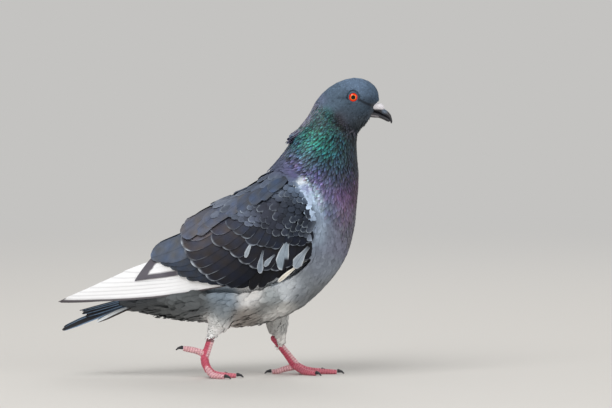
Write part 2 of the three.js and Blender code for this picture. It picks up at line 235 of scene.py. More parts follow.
class PigeonStage(bpy.types.PropertyGroup):
    distance: bpy.props.FloatProperty(
        name="Distance", description="From the camera to the bird", default=4.0, unit="LENGTH"
    )
    elevation: bpy.props.FloatProperty(
        name="Elevation", description="Camera above the horizon", default=math.radians(3), unit="ROTATION"
    )
    lens: bpy.props.FloatProperty(name="Lens", description="Focal length in millimetres", default=287.0)
    aim: bpy.props.FloatVectorProperty(
        name="Aim", description="Point looked at", default=(0.06765, 0.0, 0.14145), subtype="XYZ",
        unit="LENGTH",
    )
    sky: bpy.props.FloatProperty(name="Sky", description="Strength of the even light", default=0.5)
    key: bpy.props.FloatProperty(name="Key lamp", description="Its power", default=52.0, unit="POWER")
    fill: bpy.props.FloatProperty(name="Other lamps", description="Power of each", default=14.0, unit="POWER")


# ---------------------------------------------------------------- objects and modifiers


def select_only(*objects):
    bpy.ops.object.select_all(action="DESELECT")
    for o in objects:
        o.select_set(True)
    bpy.context.view_layer.objects.active = objects[0]


def merged_copy(name, *nodes):
    """One merged mesh from copies of these solids."""
    copies = []
    for node in nodes:
        copies.append(bpy.data.objects.new(name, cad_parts[node].data.copy()))
        bpy.context.scene.collection.objects.link(copies[-1])
    select_only(*copies)
    if len(copies) > 1:
        bpy.ops.object.join()
    obj = bpy.context.active_object
    obj.data.materials.clear()
    bpy.ops.object.mode_set(mode="EDIT")
    bpy.ops.mesh.select_all(action="SELECT")
    bpy.ops.mesh.remove_doubles(threshold=1e-6)
    bpy.ops.object.mode_set(mode="OBJECT")
    return obj


def finish(obj, kind, **settings):
    """Adds a modifier with these settings and applies it."""
    select_only(obj)
    bpy.ops.object.modifier_add(type=kind)
    modifier = obj.modifiers[-1]
    for key, value in settings.items():
        setattr(modifier, key, value)
    bpy.ops.object.modifier_apply(modifier=modifier.name)


def voxelled(obj, size, rounds):
    """Closes a mesh into even cells of this size in millimetres, then smooths it this many times."""
    finish(obj, "REMESH", mode="VOXEL", voxel_size=size * MM)
    finish(obj, "SMOOTH", factor=0.5, iterations=rounds)


def without_crumbs(obj):
    """Drops every loose bit but the largest body."""
    mesh = obj.data
    parent = list(range(len(mesh.vertices)))

    def root(i):
        while parent[i] != i:
            parent[i] = parent[parent[i]]
            i = parent[i]
        return i

    for a, b in edge_array(mesh):
        parent[root(a)] = root(b)
    roots = np.array([root(i) for i in range(len(parent))])
    names, counts = np.unique(roots, return_counts=True)
    stray = roots != names[counts.argmax()]
    if stray.any():
        select_only(obj)
        bpy.ops.object.mode_set(mode="EDIT")
        bpy.ops.mesh.select_all(action="DESELECT")
        bpy.ops.object.mode_set(mode="OBJECT")
        mesh.vertices.foreach_set("select", stray)
        bpy.ops.object.mode_set(mode="EDIT")
        bpy.ops.mesh.delete(type="VERT")
        bpy.ops.object.mode_set(mode="OBJECT")


def edge_array(mesh):
    edges = np.empty(2 * len(mesh.edges), np.int64)
    mesh.edges.foreach_get("vertices", edges)
    return edges.reshape(-1, 2).tolist()


def places_of(mesh):
    co = np.empty(3 * len(mesh.vertices))
    mesh.vertices.foreach_get("co", co)
    return co.reshape(-1, 3)


def reshape(obj, points):
    """Moves a mesh's vertices to these points."""
    obj.data.vertices.foreach_set("co", points.ravel())
    obj.data.update()


def weigh(obj, name, values, steps):
    """A vertex group that holds the values, from 0 to 1, rounded to this many steps."""
    group = obj.vertex_groups.new(name=name)
    for level in range(1, steps + 1):
        which = np.flatnonzero(np.round(values * steps) == level)
        group.add(which.tolist(), level / steps, "REPLACE")


def paint(mesh, colours):
    """Gives a mesh its colour attribute, one linear colour a vertex."""
    layer = mesh.color_attributes.new(COLOUR, "FLOAT_COLOR", "POINT")
    rgba = np.concatenate([np.clip(colours, 0, 1), np.ones((len(colours), 1))], 1)
    layer.data.foreach_set("color", rgba.astype(np.float32).ravel())


def settle(obj, slot, *replaced):
    """Rides the piece on the bird and hides the solids it stands for. slot, the name of its finish, is not
    used.
    """
    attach(obj, "root")
    if replaced:
        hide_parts(*replaced)


def dress(obj, material, slot, *replaced):
    """Gives a finished piece its material and smooth shading, and settles it."""
    obj.data.materials.append(material)
    select_only(obj)
    bpy.ops.object.shade_smooth()
    settle(obj, slot, *replaced)


# ---------------------------------------------------------------- the form under the coat


def unit(v):
    return v / np.maximum(np.linalg.norm(v, axis=-1, keepdims=True), 1e-12)


def flat_to(v, normal):
    """v laid flat against the surface that has this normal, one unit long."""
    return unit(v - (v * normal).sum(-1, keepdims=True) * normal)


class Form:
    """A triangle mesh that gives the nearest place and its smooth normal, and each triangle's solid."""

    def __init__(self, mesh):
        mesh.calc_loop_triangles()
        self.points = places_of(mesh)
        tris = np.empty(3 * len(mesh.loop_triangles), np.int64)
        mesh.loop_triangles.foreach_get("vertices", tris)
        self.tris = tris.reshape(-1, 3)
        a, b, c = (self.points[self.tris[:, k]] for k in range(3))
        cross = np.cross(b - a, c - a)
        self.areas = np.linalg.norm(cross, axis=1) / 2
        self.centres = (a + b + c) / 3
        normals = np.zeros_like(self.points)
        for k in range(3):
            np.add.at(normals, self.tris[:, k], cross)
        self.normals = unit(normals)
        self.tree = BVHTree.FromPolygons(self.points.tolist(), self.tris.tolist())
        self.zones = None

    def near(self, points):
        """(places, normals, triangles) nearest to points of any array shape."""
        flat = points.reshape(-1, 3)
        found = [self.tree.find_nearest(p) for p in flat.tolist()]
        spots = np.array([f[0] for f in found])
        which = np.array([f[2] for f in found])
        corners = self.tris[which]
        near = 1 / (np.linalg.norm(self.points[corners] - spots[:, None], axis=2) + 1e-5)
        normals = unit((self.normals[corners] * near[..., None]).sum(1))
        return spots.reshape(points.shape), normals.reshape(points.shape), which.reshape(points.shape[:-1])


WORK = {}  # what one operator leaves for the next: the form and its object


# Where the coat swells or sinks a little: x, distance from the midline, z, reach, and millimetres outwards.
SWELLS = table(
    (66, 6, 215, 11, -2.2),  # hind neck, pressed flat above its ruffle
    (54, 5, 192, 6, -1.2),
    (48, 8, 184, 6, -1.2),
    (122.5, 6, 221, 4.5, -1.6),  # sides of the cere's seat
    (124, 2, 234, 6, 0.8),  # forehead
)


def swollen(surface):
    """A form's points, moved in or out as SWELLS says."""
    folded = np.abs(surface.points) * (0, 1, 0) + surface.points * (1, 0, 1)
    swell = np.zeros(len(folded))
    for x, y, z, reach, out in SWELLS:
        d = np.linalg.norm(folded / MM - (x, y, z), axis=1) / reach
        swell += out * MM * np.exp(-(d**2))
    return surface.points + surface.normals * swell[:, None]


def nearest_flesh(points):
    """Which solid of FLESH lies nearest to each point."""
    corners, polygons, owner = [], [], []
    for k, node in enumerate(FLESH):
        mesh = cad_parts[node].data
        polygons += [[len(corners) + i for i in p.vertices] for p in mesh.polygons]
        corners += [v.co[:] for v in mesh.vertices]
        owner += [k] * len(mesh.polygons)
    solids = BVHTree.FromPolygons(corners, polygons)
    return np.array([owner[solids.find_nearest(p)[2]] for p in points.tolist()])


def form():
    """The outline of all the flesh as one smooth surface, made once."""
    if "form" not in WORK:
        obj = merged_copy("form", *FLESH)
        voxelled(obj, 1.4, 6)
        without_crumbs(obj)
        reshape(obj, swollen(Form(obj.data)))
        WORK["form"] = Form(obj.data)
        WORK["form"].zones = nearest_flesh(WORK["form"].centres)
        WORK["form_object"] = obj
    return WORK["form"]


def in_zone(surface, *names):
    return np.isin(surface.zones, [FLESH.index(n) for n in names])


# The lie of the coat: x, distance from the midline, z, reach, and which way feathers point there.
LIE = table(
    (127, 3, 230, 5, -0.25, 0.1, 1),
    (120, 4, 241, 8, -0.9, 0, 0.5),
    (106, 4, 246, 10, -1, 0, 0.05),
    (90, 5, 240, 10, -0.9, 0, -0.45),
    (78, 8, 228, 9, -0.65, 0, -0.75),
    (121, 9, 226, 5, -1, 0.2, 0.25),
    (112, 13, 223, 7, -1, 0, -0.15),
    (104, 13, 236, 6, -1, 0, 0.1),
    (98, 14, 222, 8, -0.95, 0, -0.35),
    (120, 4, 211, 5, -0.9, 0.1, -0.35),
    (108, 10, 208, 7, -0.75, 0, -0.6),
    (94, 15, 210, 8, -0.75, 0, -0.65),
    (66, 14, 208, 10, -0.75, 0, -0.65),
    (62, 20, 190, 12, -0.85, 0, -0.5),
    (84, 22, 192, 12, -0.62, 0, -0.75),
    (106, 12, 190, 10, -0.15, 0, -1),
    (104, 22, 172, 12, -0.2, 0, -1),
    (82, 30, 170, 12, -0.55, 0, -0.8),
    (60, 28, 172, 10, -0.8, 0.1, -0.6),
    (110, 10, 140, 16, 0, 0, -1),
    (96, 36, 128, 16, -0.4, 0, -0.9),
    (106, 10, 96, 16, -0.4, 0, -0.9),
    (88, 36, 96, 14, -0.75, 0, -0.65),
    (70, 38, 78, 14, -0.95, 0, -0.3),
    (85, 8, 62, 16, -0.9, 0, -0.5),
    (40, 20, 45, 20, -1, 0, 0),
    (0, 35, 52, 16, -1, 0, 0.1),
    (-10, 6, 42, 20, -1, 0, 0.06),
    (-60, 10, 56, 20, -1, 0, 0.12),
    (40, 12, 172, 14, -0.8, 0, -0.6),
    (0, 6, 138, 20, -0.8, 0, -0.6),
    (-50, 5, 92, 22, -0.85, 0, -0.5),
    (60, 42, 150, 14, -0.85, 0, -0.5),
    (60, 50, 125, 14, -0.85, 0, -0.5),
    (30, 50, 120, 20, -0.85, 0, -0.5),
    (-4, 18, 46, 9, -0.35, 0, -1),
    (-9, 18, 34, 6, -0.2, 0, -1),
    (44, 18, 48, 10, -0.1, 0, -1),
    (47, 18, 30, 6, 0.2, 0, -1),
)

# The coat's make-up: x, distance from the midline, z, reach, then spacing, length, width and lift of the
# feathers there, and how ruffled they lie.
MAKE_UP = table(
    (127, 4, 226, 4, 0.63, 1.87, 0.94, 0, 0.3),
    (106, 13, 229, 6, 0.66, 2.21, 1.09, 0, 0.25),
    (119, 5, 238, 7, 0.76, 2.72, 1.25, 0, 0.25),
    (104, 4, 245, 9, 0.83, 3.4, 1.48, 0, 0.25),
    (88, 8, 236, 9, 0.86, 3.74, 1.56, 0, 0.3),
    (100, 14, 217, 8, 0.83, 3.4, 1.48, 0, 0.35),
    (112, 8, 209, 6, 0.83, 4.4, 1.4, 0.5, 1.8),
    (76, 10, 222, 8, 0.99, 5.1, 1.64, 0, 0.6),
    (92, 17, 206, 7, 0.99, 5.52, 1.64, 0.14, 1.1),
    (74, 18, 204, 9, 1.12, 6.8, 1.79, 0.07, 1),
    (54, 8, 193, 5, 1.5, 10, 2.4, 0.2, 0.9),
    (84, 24, 188, 12, 1.33, 8.1, 1.95, 0.07, 1),
    (107, 12, 186, 10, 1.26, 7.2, 1.79, 0, 0.6),
    (86, 32, 168, 10, 1.54, 9, 2.5, 0, 0.6),
    (104, 28, 155, 10, 1.54, 8.1, 2.65, 0, 0.4),
    (100, 34, 130, 14, 2.24, 9.68, 4.1, 0, 0.5),
    (86, 34, 90, 14, 2.59, 11.44, 5.32, 0, 0.6),
    (60, 32, 62, 14, 2.87, 13.2, 6.08, 0.07, 0.8),
    (20, 35, 52, 16, 3.01, 14.96, 6.84, 0.21, 1.2),
    (30, 6, 42, 16, 2.94, 14.08, 6, 0.8, 1.8),
    (-30, 15, 48, 14, 3.22, 16.72, 6, 1.2, 2.2),
    (-72, 8, 54, 14, 3.5, 19.36, 7.22, 0.35, 1.2),
    (48, 14, 176, 12, 2.2, 10.5, 5.0, 0.03, 0.5),
    (15, 10, 150, 16, 2.8, 13.5, 6.4, 0, 0.3),
    (-45, 6, 95, 18, 3.5, 17.6, 7.6, 0, 0.3),
    (-78, 6, 72, 10, 3.5, 21.12, 7.6, 0, 0.3),
    (-4, 18, 46, 8, 1.5, 7.5, 2.2, 0.14, 0.9),
    (-9.5, 18, 34, 5, 1.1, 4.6, 1.6, 0.07, 0.9),
    (44, 18, 46, 9, 1.6, 7.5, 2.3, 0.14, 0.9),
    (47, 18, 28, 5, 1.1, 4.8, 1.6, 0.07, 0.9),
)


def lie_of_coat(points):
    """Which way the feathers point, one unit long."""
    way = blended(points, LIE, LIE[:, 4:], (1, 1, 1))
    way[:, 1] *= np.where(points[:, 1] < 0, -1.0, 1.0)
    return unit(way)


# What each part adds to the seed.
DRAWS = dict(head=1, neck=2, body=3, boots=4, fringe=5, quills=20, coverts=30, tail=40, tuft=60)


def dice(part):
    """The random draws of one part of the plumage."""
    return np.random.default_rng(bpy.context.scene.pigeon_plumage.seed + DRAWS[part])


DARTS = 6.0  # tries for each feather that fits
GAP_STEP = 1.2  # spacings are rounded to powers of this, in millimetres


def scatter(surface, allowed, spacing, rng):
    """Roots spread evenly over the allowed triangles, `spacing` apart, which has one value a triangle."""
    share = surface.areas * allowed / spacing**2
    tries = int(DARTS * share.sum())
    pick = rng.choice(len(share), tries, p=share / share.sum())
    a, b = rng.random((2, tries))
    a, b = np.where(a + b > 1, 1 - a, a), np.where(a + b > 1, 1 - b, b)
    p, q, r = (surface.points[surface.tris[pick, k]] for k in range(3))
    spots = p + a[:, None] * (q - p) + b[:, None] * (r - p)
    levels = np.round(np.log(spacing[pick] / MM) / np.log(GAP_STEP)).astype(int)
    grids = {level: {} for level in np.unique(levels).tolist()}
    around = [(i, j, k) for i in (-1, 0, 1) for j in (-1, 0, 1) for k in (-1, 0, 1)]

    def crowded(spot, level):
        gap = MM * GAP_STEP**level
        i, j, k = (math.floor(v / gap) for v in spot)
        for di, dj, dk in around:
            for other in grids[level].get((i + di, j + dj, k + dk), ()):
                if math.dist(other, spot) < gap:
                    return True
        return False

    kept = []
    for n, (level, spot) in enumerate(zip(levels.tolist(), spots.tolist())):
        if crowded(spot, level):
            continue
        kept.append(n)
        for each, cells in grids.items():
            size = MM * GAP_STEP**each
            cells.setdefault(tuple(math.floor(v / size) for v in spot), []).append(spot)
    return spots[kept]


# ---------------------------------------------------------------- vanes


def vane_faces(rows, cols):
    """Corners of one closed vane's faces: a grid on top, and an underside that shares the grid's rim."""
    top = np.arange(rows * cols).reshape(rows, cols)
    under = top.copy()
    under[1:-1, 1:-1] = rows * cols + np.arange((rows - 2) * (cols - 2)).reshape(rows - 2, cols - 2)

    def quads(g):
        return np.stack([g[:-1, :-1], g[1:, :-1], g[1:, 1:], g[:-1, 1:]], -1).reshape(-1, 4)

    return np.concatenate([quads(top), quads(under)[:, ::-1]])


MAP_SIZE = 0.1  # metres of vane to one unit of its own UV map
CELL_SHARE = 0.9  # how much of its cell of the bake map a large vane fills
BAKE_EDGE, BAKE_SPAN = 0.004, 0.992  # where small vanes' roots begin on the bake map, and how far they go
BAKE_PATCH = 0.003  # the size of a small vane on it


class Coat:
    """Vanes gathered for one piece, as arrays of (vane, row from root to tip, column across, ...)."""

    def __init__(self):
        self.batches = []

    def add(self, top, normals, thick, colours, local, roots=None):
        """top and normals are places and normals, thick the vane's thickness in metres, local its own
        (across, along) in metres, and roots each vane's place on the skin's unwrap, from 0 to 1."""
        n, rows, cols = top.shape[:3]
        size = rows * cols + (rows - 2) * (cols - 2)
        under = (top - normals * thick)[:, 1:-1, 1:-1].reshape(n, -1, 3)
        spread = np.stack(np.meshgrid(np.linspace(-0.5, 0.5, cols), np.linspace(-0.5, 0.5, rows)), -1)

        def whole(values):
            """The top's values, then the same ones for the points that the underside has to itself."""
            last = values.shape[-1]
            parts = values.reshape(n, -1, last), values[:, 1:-1, 1:-1].reshape(n, -1, last)
            return np.concatenate(parts, 1).reshape(-1, last)

        self.batches.append(
            dict(
                points=np.concatenate([top.reshape(n, -1, 3), under], 1).reshape(-1, 3),
                faces=(vane_faces(rows, cols) + size * np.arange(n)[:, None, None]).reshape(-1, 4),
                colours=whole(colours),
                lie=whole(np.broadcast_to(normals, top.shape)),
                upper=np.tile(np.repeat((True, False), (rows - 1) * (cols - 1)), n),
                local=whole(local),
                spread=whole(np.broadcast_to(spread, (n, rows, cols, 2))),
                roots=None if roots is None else np.repeat(roots, size, 0),
                count=n,
                size=size,
            )
        )

    def lay_out(self):
        """Gives each vane its place on the bake map: a cell, or for small ones a patch by the root."""
        if self.batches[0]["roots"] is None:
            across = math.ceil(math.sqrt(sum(b["count"] for b in self.batches)))
            cell, done = 1 / across, 0
            for b in self.batches:
                k = np.repeat(done + np.arange(b["count"]), b["size"])
                middle = np.stack([k % across + 0.5, k // across + 0.5], 1) * cell
                b["bake"] = middle + b["spread"] * cell * CELL_SHARE
                done += b["count"]
            return
        low = np.min([b["roots"].min(0) for b in self.batches], 0)
        high = np.max([b["roots"].max(0) for b in self.batches], 0)
        for b in self.batches:
            place = BAKE_EDGE + BAKE_SPAN * (b["roots"] - low) / (high - low)
            b["bake"] = place + b["spread"] * BAKE_PATCH

    def build(self, name, material, soft=0.0, mirrored=False, drop=0.0):
        """The joined mesh. soft is how far its shading follows the coat as a whole, from 0 to 1, and drop
        how many millimetres its far end hangs lower."""
        self.lay_out()
        kinds = ("points", "colours", "local", "bake", "lie", "upper")
        joined = {k: np.concatenate([b[k] for b in self.batches]) for k in kinds}
        starts = np.cumsum([0] + [len(b["points"]) for b in self.batches])
        faces = np.concatenate([b["faces"] + s for b, s in zip(self.batches, starts)])
        turned = (1, -1, 1) if mirrored else (1, 1, 1)
        points, lie = joined["points"] * turned, joined["lie"] * turned
        points[:, 2] -= drop * MM * smooth(-(points[:, 0] / MM + 40) / 40)
        if mirrored:
            faces = faces[:, ::-1]
        mesh = bpy.data.meshes.new(name)
        mesh.from_pydata(points.tolist(), [], faces.tolist())
        paint(mesh, joined["colours"])
        for layer, values in (("UVMap", joined["local"] / MAP_SIZE + [0.5, 0]), ("OFBake", joined["bake"])):
            corners = values[faces.ravel()].astype(np.float32).ravel()
            mesh.uv_layers.new(name=layer).data.foreach_set("uv", corners)
        mesh.uv_layers["UVMap"].active_render = True
        mesh.uv_layers.active = mesh.uv_layers["UVMap"]
        obj = bpy.data.objects.new(name, mesh)
        bpy.context.scene.collection.objects.link(obj)
        mesh.materials.append(material)
        select_only(obj)
        bpy.ops.object.shade_smooth()
        mesh.normals_split_custom_set(shading(points, faces, lie, joined["upper"], soft).tolist())
        return obj


def shading(points, faces, lie, upper, soft):
    """Normals of corners: smooth over each side of a vane, then turned `soft` of the way to the coat's."""
    corners = points[faces]
    own = unit(np.cross(corners[:, 2] - corners[:, 0], corners[:, 3] - corners[:, 1]))
    sums = np.zeros((2, len(points), 3))
    for sheet, which in enumerate((upper, ~upper)):
        for k in range(4):
            np.add.at(sums[sheet], faces[which, k], own[which])
    upper = upper[:, None, None]
    smoothed = np.where(upper, unit(sums[0])[faces], unit(sums[1])[faces])
    facing = np.where(upper, lie[faces], -lie[faces])
    return unit(mix(smoothed, facing, np.full(faces.shape, soft))).reshape(-1, 3)


# Shapes of vanes: knots of (place from root to tip, share of the full width), and how round the tip is.
SHAPES = {
    "round": (table((0, 0.3), (0.25, 0.75), (0.5, 0.97), (0.75, 1), (1, 0.86)), 1.15),
    "narrow": (table((0, 0.5), (0.3, 0.95), (0.6, 1), (0.85, 0.92), (1, 0.72)), 1.6),
    "loose": (table((0, 0.4), (0.3, 0.8), (0.6, 1), (0.85, 0.85), (1, 0.5)), 1.6),
    "covert": (table((0, 0.4), (0.15, 0.7), (0.4, 0.96), (0.7, 1), (1, 0.94)), 0.95),
    "wedge": (table((0, 0.3), (0.3, 0.4), (0.55, 0.8), (0.8, 1), (1, 0.7)), 0.9),
    "primary": (table((0, 0.3), (0.1, 0.62), (0.3, 0.92), (0.6, 1), (0.85, 0.94), (1, 0.84)), 0.35),
    "blade": (table((0, 0.4), (0.1, 0.8), (0.3, 1), (1, 0.96)), 0.1),
    "narrow_quill": (table((0, 1.2), (0.3, 1.1), (0.6, 1), (0.85, 0.8), (1, 0.5)), 2.0),
    "quill": (table((0, 0.3), (0.1, 0.62), (0.3, 0.92), (0.6, 1), (0.85, 0.9), (1, 0.72)), 1.3),
}


def shaped(shape, s, c):
    """Share of the full width at each place, and how far columns fall short of the tip, in half widths."""
    knots, tip = SHAPES[shape]
    short = tip * (1 - np.sqrt(1 - (0.97 * c) ** 2))
    return np.interp(s, knots[:, 0], knots[:, 1]), np.maximum(s - 0.5, 0)[:, None] ** 2 / 0.25 * short


def own_map(side, along):
    """A vane's own (across, along) at each of its points."""
    return np.stack(np.broadcast_arrays(side, along[..., None]), -1)


STRAY, UNEVEN = 0.13, 0.07  # spread of the feathers' turns, in radians, and of their lengths, as a share
OFF_STEP, OFF_WIDTH = 0.32, 0.25  # shares of a step and of the width past which a feather leaves the form


def walked(surface, roots, length, stations, stray):
    """Feathers' middle lines from their roots along the lie of the coat: places, directions and normals. A
    step that ends too far off the form goes straight on."""
    place, normal, _ = surface.near(roots)
    way = swung(flat_to(lie_of_coat(place), normal), normal, stray)
    line = [(place, way, normal)]
    for step in np.diff(stations):
        stride = length * step
        ahead = place + way * stride[:, None]
        spot, turned, _ = surface.near(ahead)
        holds = (np.linalg.norm(spot - ahead, axis=1) < OFF_STEP * stride + 0.5 * MM)[:, None]
        place, normal = np.where(holds, spot, ahead), np.where(holds, turned, normal)
        way = unit(way + swung(flat_to(lie_of_coat(place), normal), normal, stray))
        way = flat_to(way, normal)
        line.append((place, way, normal))
    return [np.stack(values, 1) for values in zip(*line)]


def feather(shape, stations, cols, colour, centre, axis, crown=0.03):
    """A kind of contour feather: its shape, rows, columns and tone, the middle and axis of the bake map's
    unwrap, and how far it bulges as a share of its width."""
    return dict(shape=shape, stations=stations, cols=cols, colour=colour, unwrap=(centre, axis), crown=crown)


def combed(surface, coat, roots, length, width, rng, kind, depth, lift, ruffle, keep=None, over=0.0):
    """Feathers of a kind from roots on the form, walked along the lie of the coat and raised by `over`. depth
    is how far each root is sunk, lift how far its tip rises, and keep picks the middle lines that stay."""
    n = len(roots)
    over = np.broadcast_to(over, n)
    s, c = np.array(kind["stations"], float), np.array(kind["cols"], float)
    disorder = bpy.context.scene.pigeon_plumage.disorder * ruffle
    stray = rng.normal(0, STRAY, n) * disorder
    length = length * (1 + rng.normal(0, UNEVEN, n) * disorder)
    mid, way, normal = walked(surface, roots, length, s, stray)
    if keep is not None:
        stay = keep(mid)
        mid, way, normal = mid[stay], way[stay], normal[stay]
        kept = (v[stay] for v in (roots, length, width, depth, lift, disorder, over))
        roots, length, width, depth, lift, disorder, over = kept
        n = len(roots)
    share, short = shaped(kind["shape"], s, c)
    half = width[:, None] * share[None] / 2
    side = half[..., None] * c
    back = short[None] * width[:, None, None] / 2
    top = mid[:, :, None] + np.cross(normal, way)[:, :, None] * side[..., None]
    top = top - way[:, :, None] * back[..., None]
    spot, turned, _ = surface.near(top)
    holds = (np.linalg.norm(spot - top, axis=-1) < OFF_WIDTH * width[:, None, None] + 0.2 * MM)[..., None]
    top = np.where(holds, spot, top)
    turned = np.where(holds, turned, normal[:, :, None] + 0 * top)
    rise = over[:, None] - depth[:, None] * (1 - s) ** 2.3
    rise = rise + (lift * rng.uniform(0.2, 1.8, n))[:, None] * s**2
    rise = rise + (rng.uniform(0, 0.04, n) * width)[:, None] * s
    rise = rise + (0.02 * width * disorder * rng.exponential(1.0, n))[:, None] * s**3
    roll = rng.normal(0, 0.05, n) * disorder
    sheet = rise[..., None] + roll[:, None, None] * half[..., None] * c
    top = top + turned * (sheet + kind["crown"] * width[:, None, None] * (1 - c**2))[..., None]
    flat = np.zeros_like(sheet)
    tone = kind["colour"](top, s[:, None] + flat, c + flat, rng)
    thick = (0.012 * width + 0.05 * MM)[:, None, None, None]
    local, unwrap = own_map(side, length[:, None] * s), unwrapped(roots, *kind["unwrap"])
    coat.add(top, turned, thick, tone, local, unwrap)


def swung(way, normal, angle):
    """Directions turned by an angle about their normals."""
    return way * np.cos(angle)[:, None] + np.cross(normal, way) * np.sin(angle)[:, None]


def unwrapped(points, centre, axis):
    """Each root's place on an unwrap of the skin round an axis: the turn about it and the angle from it."""
    axis = np.array(axis, float) / np.linalg.norm(axis)
    side = np.cross(axis, (0, 1, 0))
    way = unit(points - np.array(centre) * MM)
    turn = np.arctan2(way @ side / np.linalg.norm(side), way[:, 1])
    return np.stack([turn / (2 * math.pi) + 0.5, np.arccos(np.clip(way @ axis, -1, 1)) / math.pi], 1)


# ---------------------------------------------------------------- materials


def new_material(name, roughness, **sockets):
    """A material with a Principled shader. Returns it, its tree and the shader."""
    material = bpy.data.materials.new(name)
    material.use_nodes = True
    tree = material.node_tree
    shader = tree.nodes["Principled BSDF"]
    shader.inputs["Roughness"].default_value = roughness
    for key, value in sockets.items():
        shader.inputs[key.replace("_", " ")].default_value = value
    return material, tree, shader


def add_node(tree, kind, inputs=None, **settings):
    """A new node, its inputs set to values or linked to other nodes' outputs."""
    node = tree.nodes.new(kind)
    for key, value in settings.items():
        setattr(node, key, value)
    for key, value in (inputs or {}).items():
        if isinstance(value, bpy.types.NodeSocket):
            tree.links.new(value, node.inputs[key])
        else:
            node.inputs[key].default_value = value
    return node


def noise(tree, place, scale, detail):
    inputs = {"Vector": place, "Scale": scale, "Detail": detail}
    return add_node(tree, "ShaderNodeTexNoise", inputs).outputs[0]


def bump(tree, shader, height, strength, relief):
    """Joins a height to the shader's normal, its relief in millimetres."""
    inputs = {"Strength": strength, "Distance": relief * MM, "Height": height}
    tree.links.new(add_node(tree, "ShaderNodeBump", inputs).outputs[0], shader.inputs["Normal"])


def maths(tree, operation, a, b=0.0, c=0.0, clamp=False):
    inputs = {0: a, 1: b, 2: c}
    return add_node(tree, "ShaderNodeMath", inputs, operation=operation, use_clamp=clamp).outputs[0]


def scaled(tree, colour, factor):
    """A colour times a number that changes over the surface."""
    inputs = {0: colour, "Scale": factor}
    return add_node(tree, "ShaderNodeVectorMath", inputs, operation="SCALE").outputs[0]


def new_group(name, inputs, outputs):
    """A shader node group. Returns it with its input and output nodes."""
    group = bpy.data.node_groups.new(name, "ShaderNodeTree")
    for socket, kind, value in inputs:
        made = group.interface.new_socket(name=socket, in_out="INPUT", socket_type=kind)
        made.default_value = value
    for socket, kind in outputs:
        group.interface.new_socket(name=socket, in_out="OUTPUT", socket_type=kind)
    return group, group.nodes.new("NodeGroupInput"), group.nodes.new("NodeGroupOutput")


def vane_group():
    """Barbs that slant off a shaft, for any vane with its own (across, along) map."""
    if "Vane" in bpy.data.node_groups:
        return bpy.data.node_groups["Vane"]
    group, given, out = new_group(
        "Vane",
        [
            ("Colour", "NodeSocketColor", (1, 1, 1, 1)),
            ("Barb Gap", "NodeSocketFloat", 0.9),
            ("Barb Shade", "NodeSocketFloat", 0.15),
            ("Mottle", "NodeSocketFloat", 0.12),
            ("Shaft", "NodeSocketFloat", 0.0),
        ],
        [("Colour", "NodeSocketColor"), ("Height", "NodeSocketFloat")],
    )
    local = add_node(group, "ShaderNodeUVMap", uv_map="UVMap").outputs[0]
    parts = add_node(group, "ShaderNodeSeparateXYZ", {0: local})
    off = maths(group, "ABSOLUTE", maths(group, "SUBTRACT", parts.outputs[0], 0.5))
    place = maths(group, "MULTIPLY_ADD", off, -0.9, parts.outputs[1])
    object_place = add_node(group, "ShaderNodeTexCoord").outputs["Object"]
    fine, broad = noise(group, object_place, 700.0, 2.0), noise(group, object_place, 160.0, 3.0)
    wobble = maths(group, "MULTIPLY_ADD", fine, 0.006, place)
    gap = maths(group, "MULTIPLY", given.outputs["Barb Gap"], MM / MAP_SIZE)
    turns = maths(group, "MULTIPLY", maths(group, "DIVIDE", wobble, gap), 6.2832)
    wave = maths(group, "MULTIPLY_ADD", maths(group, "SINE", turns), 0.5, 0.5)
    shaft = maths(group, "SUBTRACT", 1.0, maths(group, "DIVIDE", off, 0.004), clamp=True)
    shade = maths(group, "MULTIPLY", maths(group, "SUBTRACT", 1.0, wave), given.outputs["Barb Shade"])
    blotch = maths(group, "MULTIPLY", maths(group, "SUBTRACT", broad, 0.5), given.outputs["Mottle"])
    stem = maths(group, "MULTIPLY", shaft, given.outputs["Shaft"])
    factor = maths(group, "SUBTRACT", maths(group, "ADD", blotch, 1.0), maths(group, "ADD", shade, stem))
    group.links.new(scaled(group, given.outputs["Colour"], factor), out.inputs["Colour"])
    height = maths(group, "MULTIPLY_ADD", shaft, 0.8, maths(group, "MULTIPLY_ADD", fine, 0.4, wave))
    group.links.new(height, out.inputs["Height"])
    return group


def plumage_material(
    name, roughness, gap=0.9, shade=0.15, mottle=0.12, shaft=0.0, relief=0.05, specular=0.2, **sockets
):
    """Feathers in their painted colours, with barbs `gap` millimetres apart."""
    material, tree, shader = new_material(name, roughness, Specular_IOR_Level=specular, **sockets)
    colour = add_node(tree, "ShaderNodeVertexColor", layer_name=COLOUR).outputs[0]
    vane = add_node(tree, "ShaderNodeGroup", node_tree=vane_group())
    tree.links.new(colour, vane.inputs["Colour"])
    for key, value in (("Barb Gap", gap), ("Barb Shade", shade), ("Mottle", mottle), ("Shaft", shaft)):
        vane.inputs[key].default_value = value
    tree.links.new(vane.outputs["Colour"], shader.inputs["Base Color"])
    bump(tree, shader, vane.outputs["Height"], 0.5, relief)
    return material


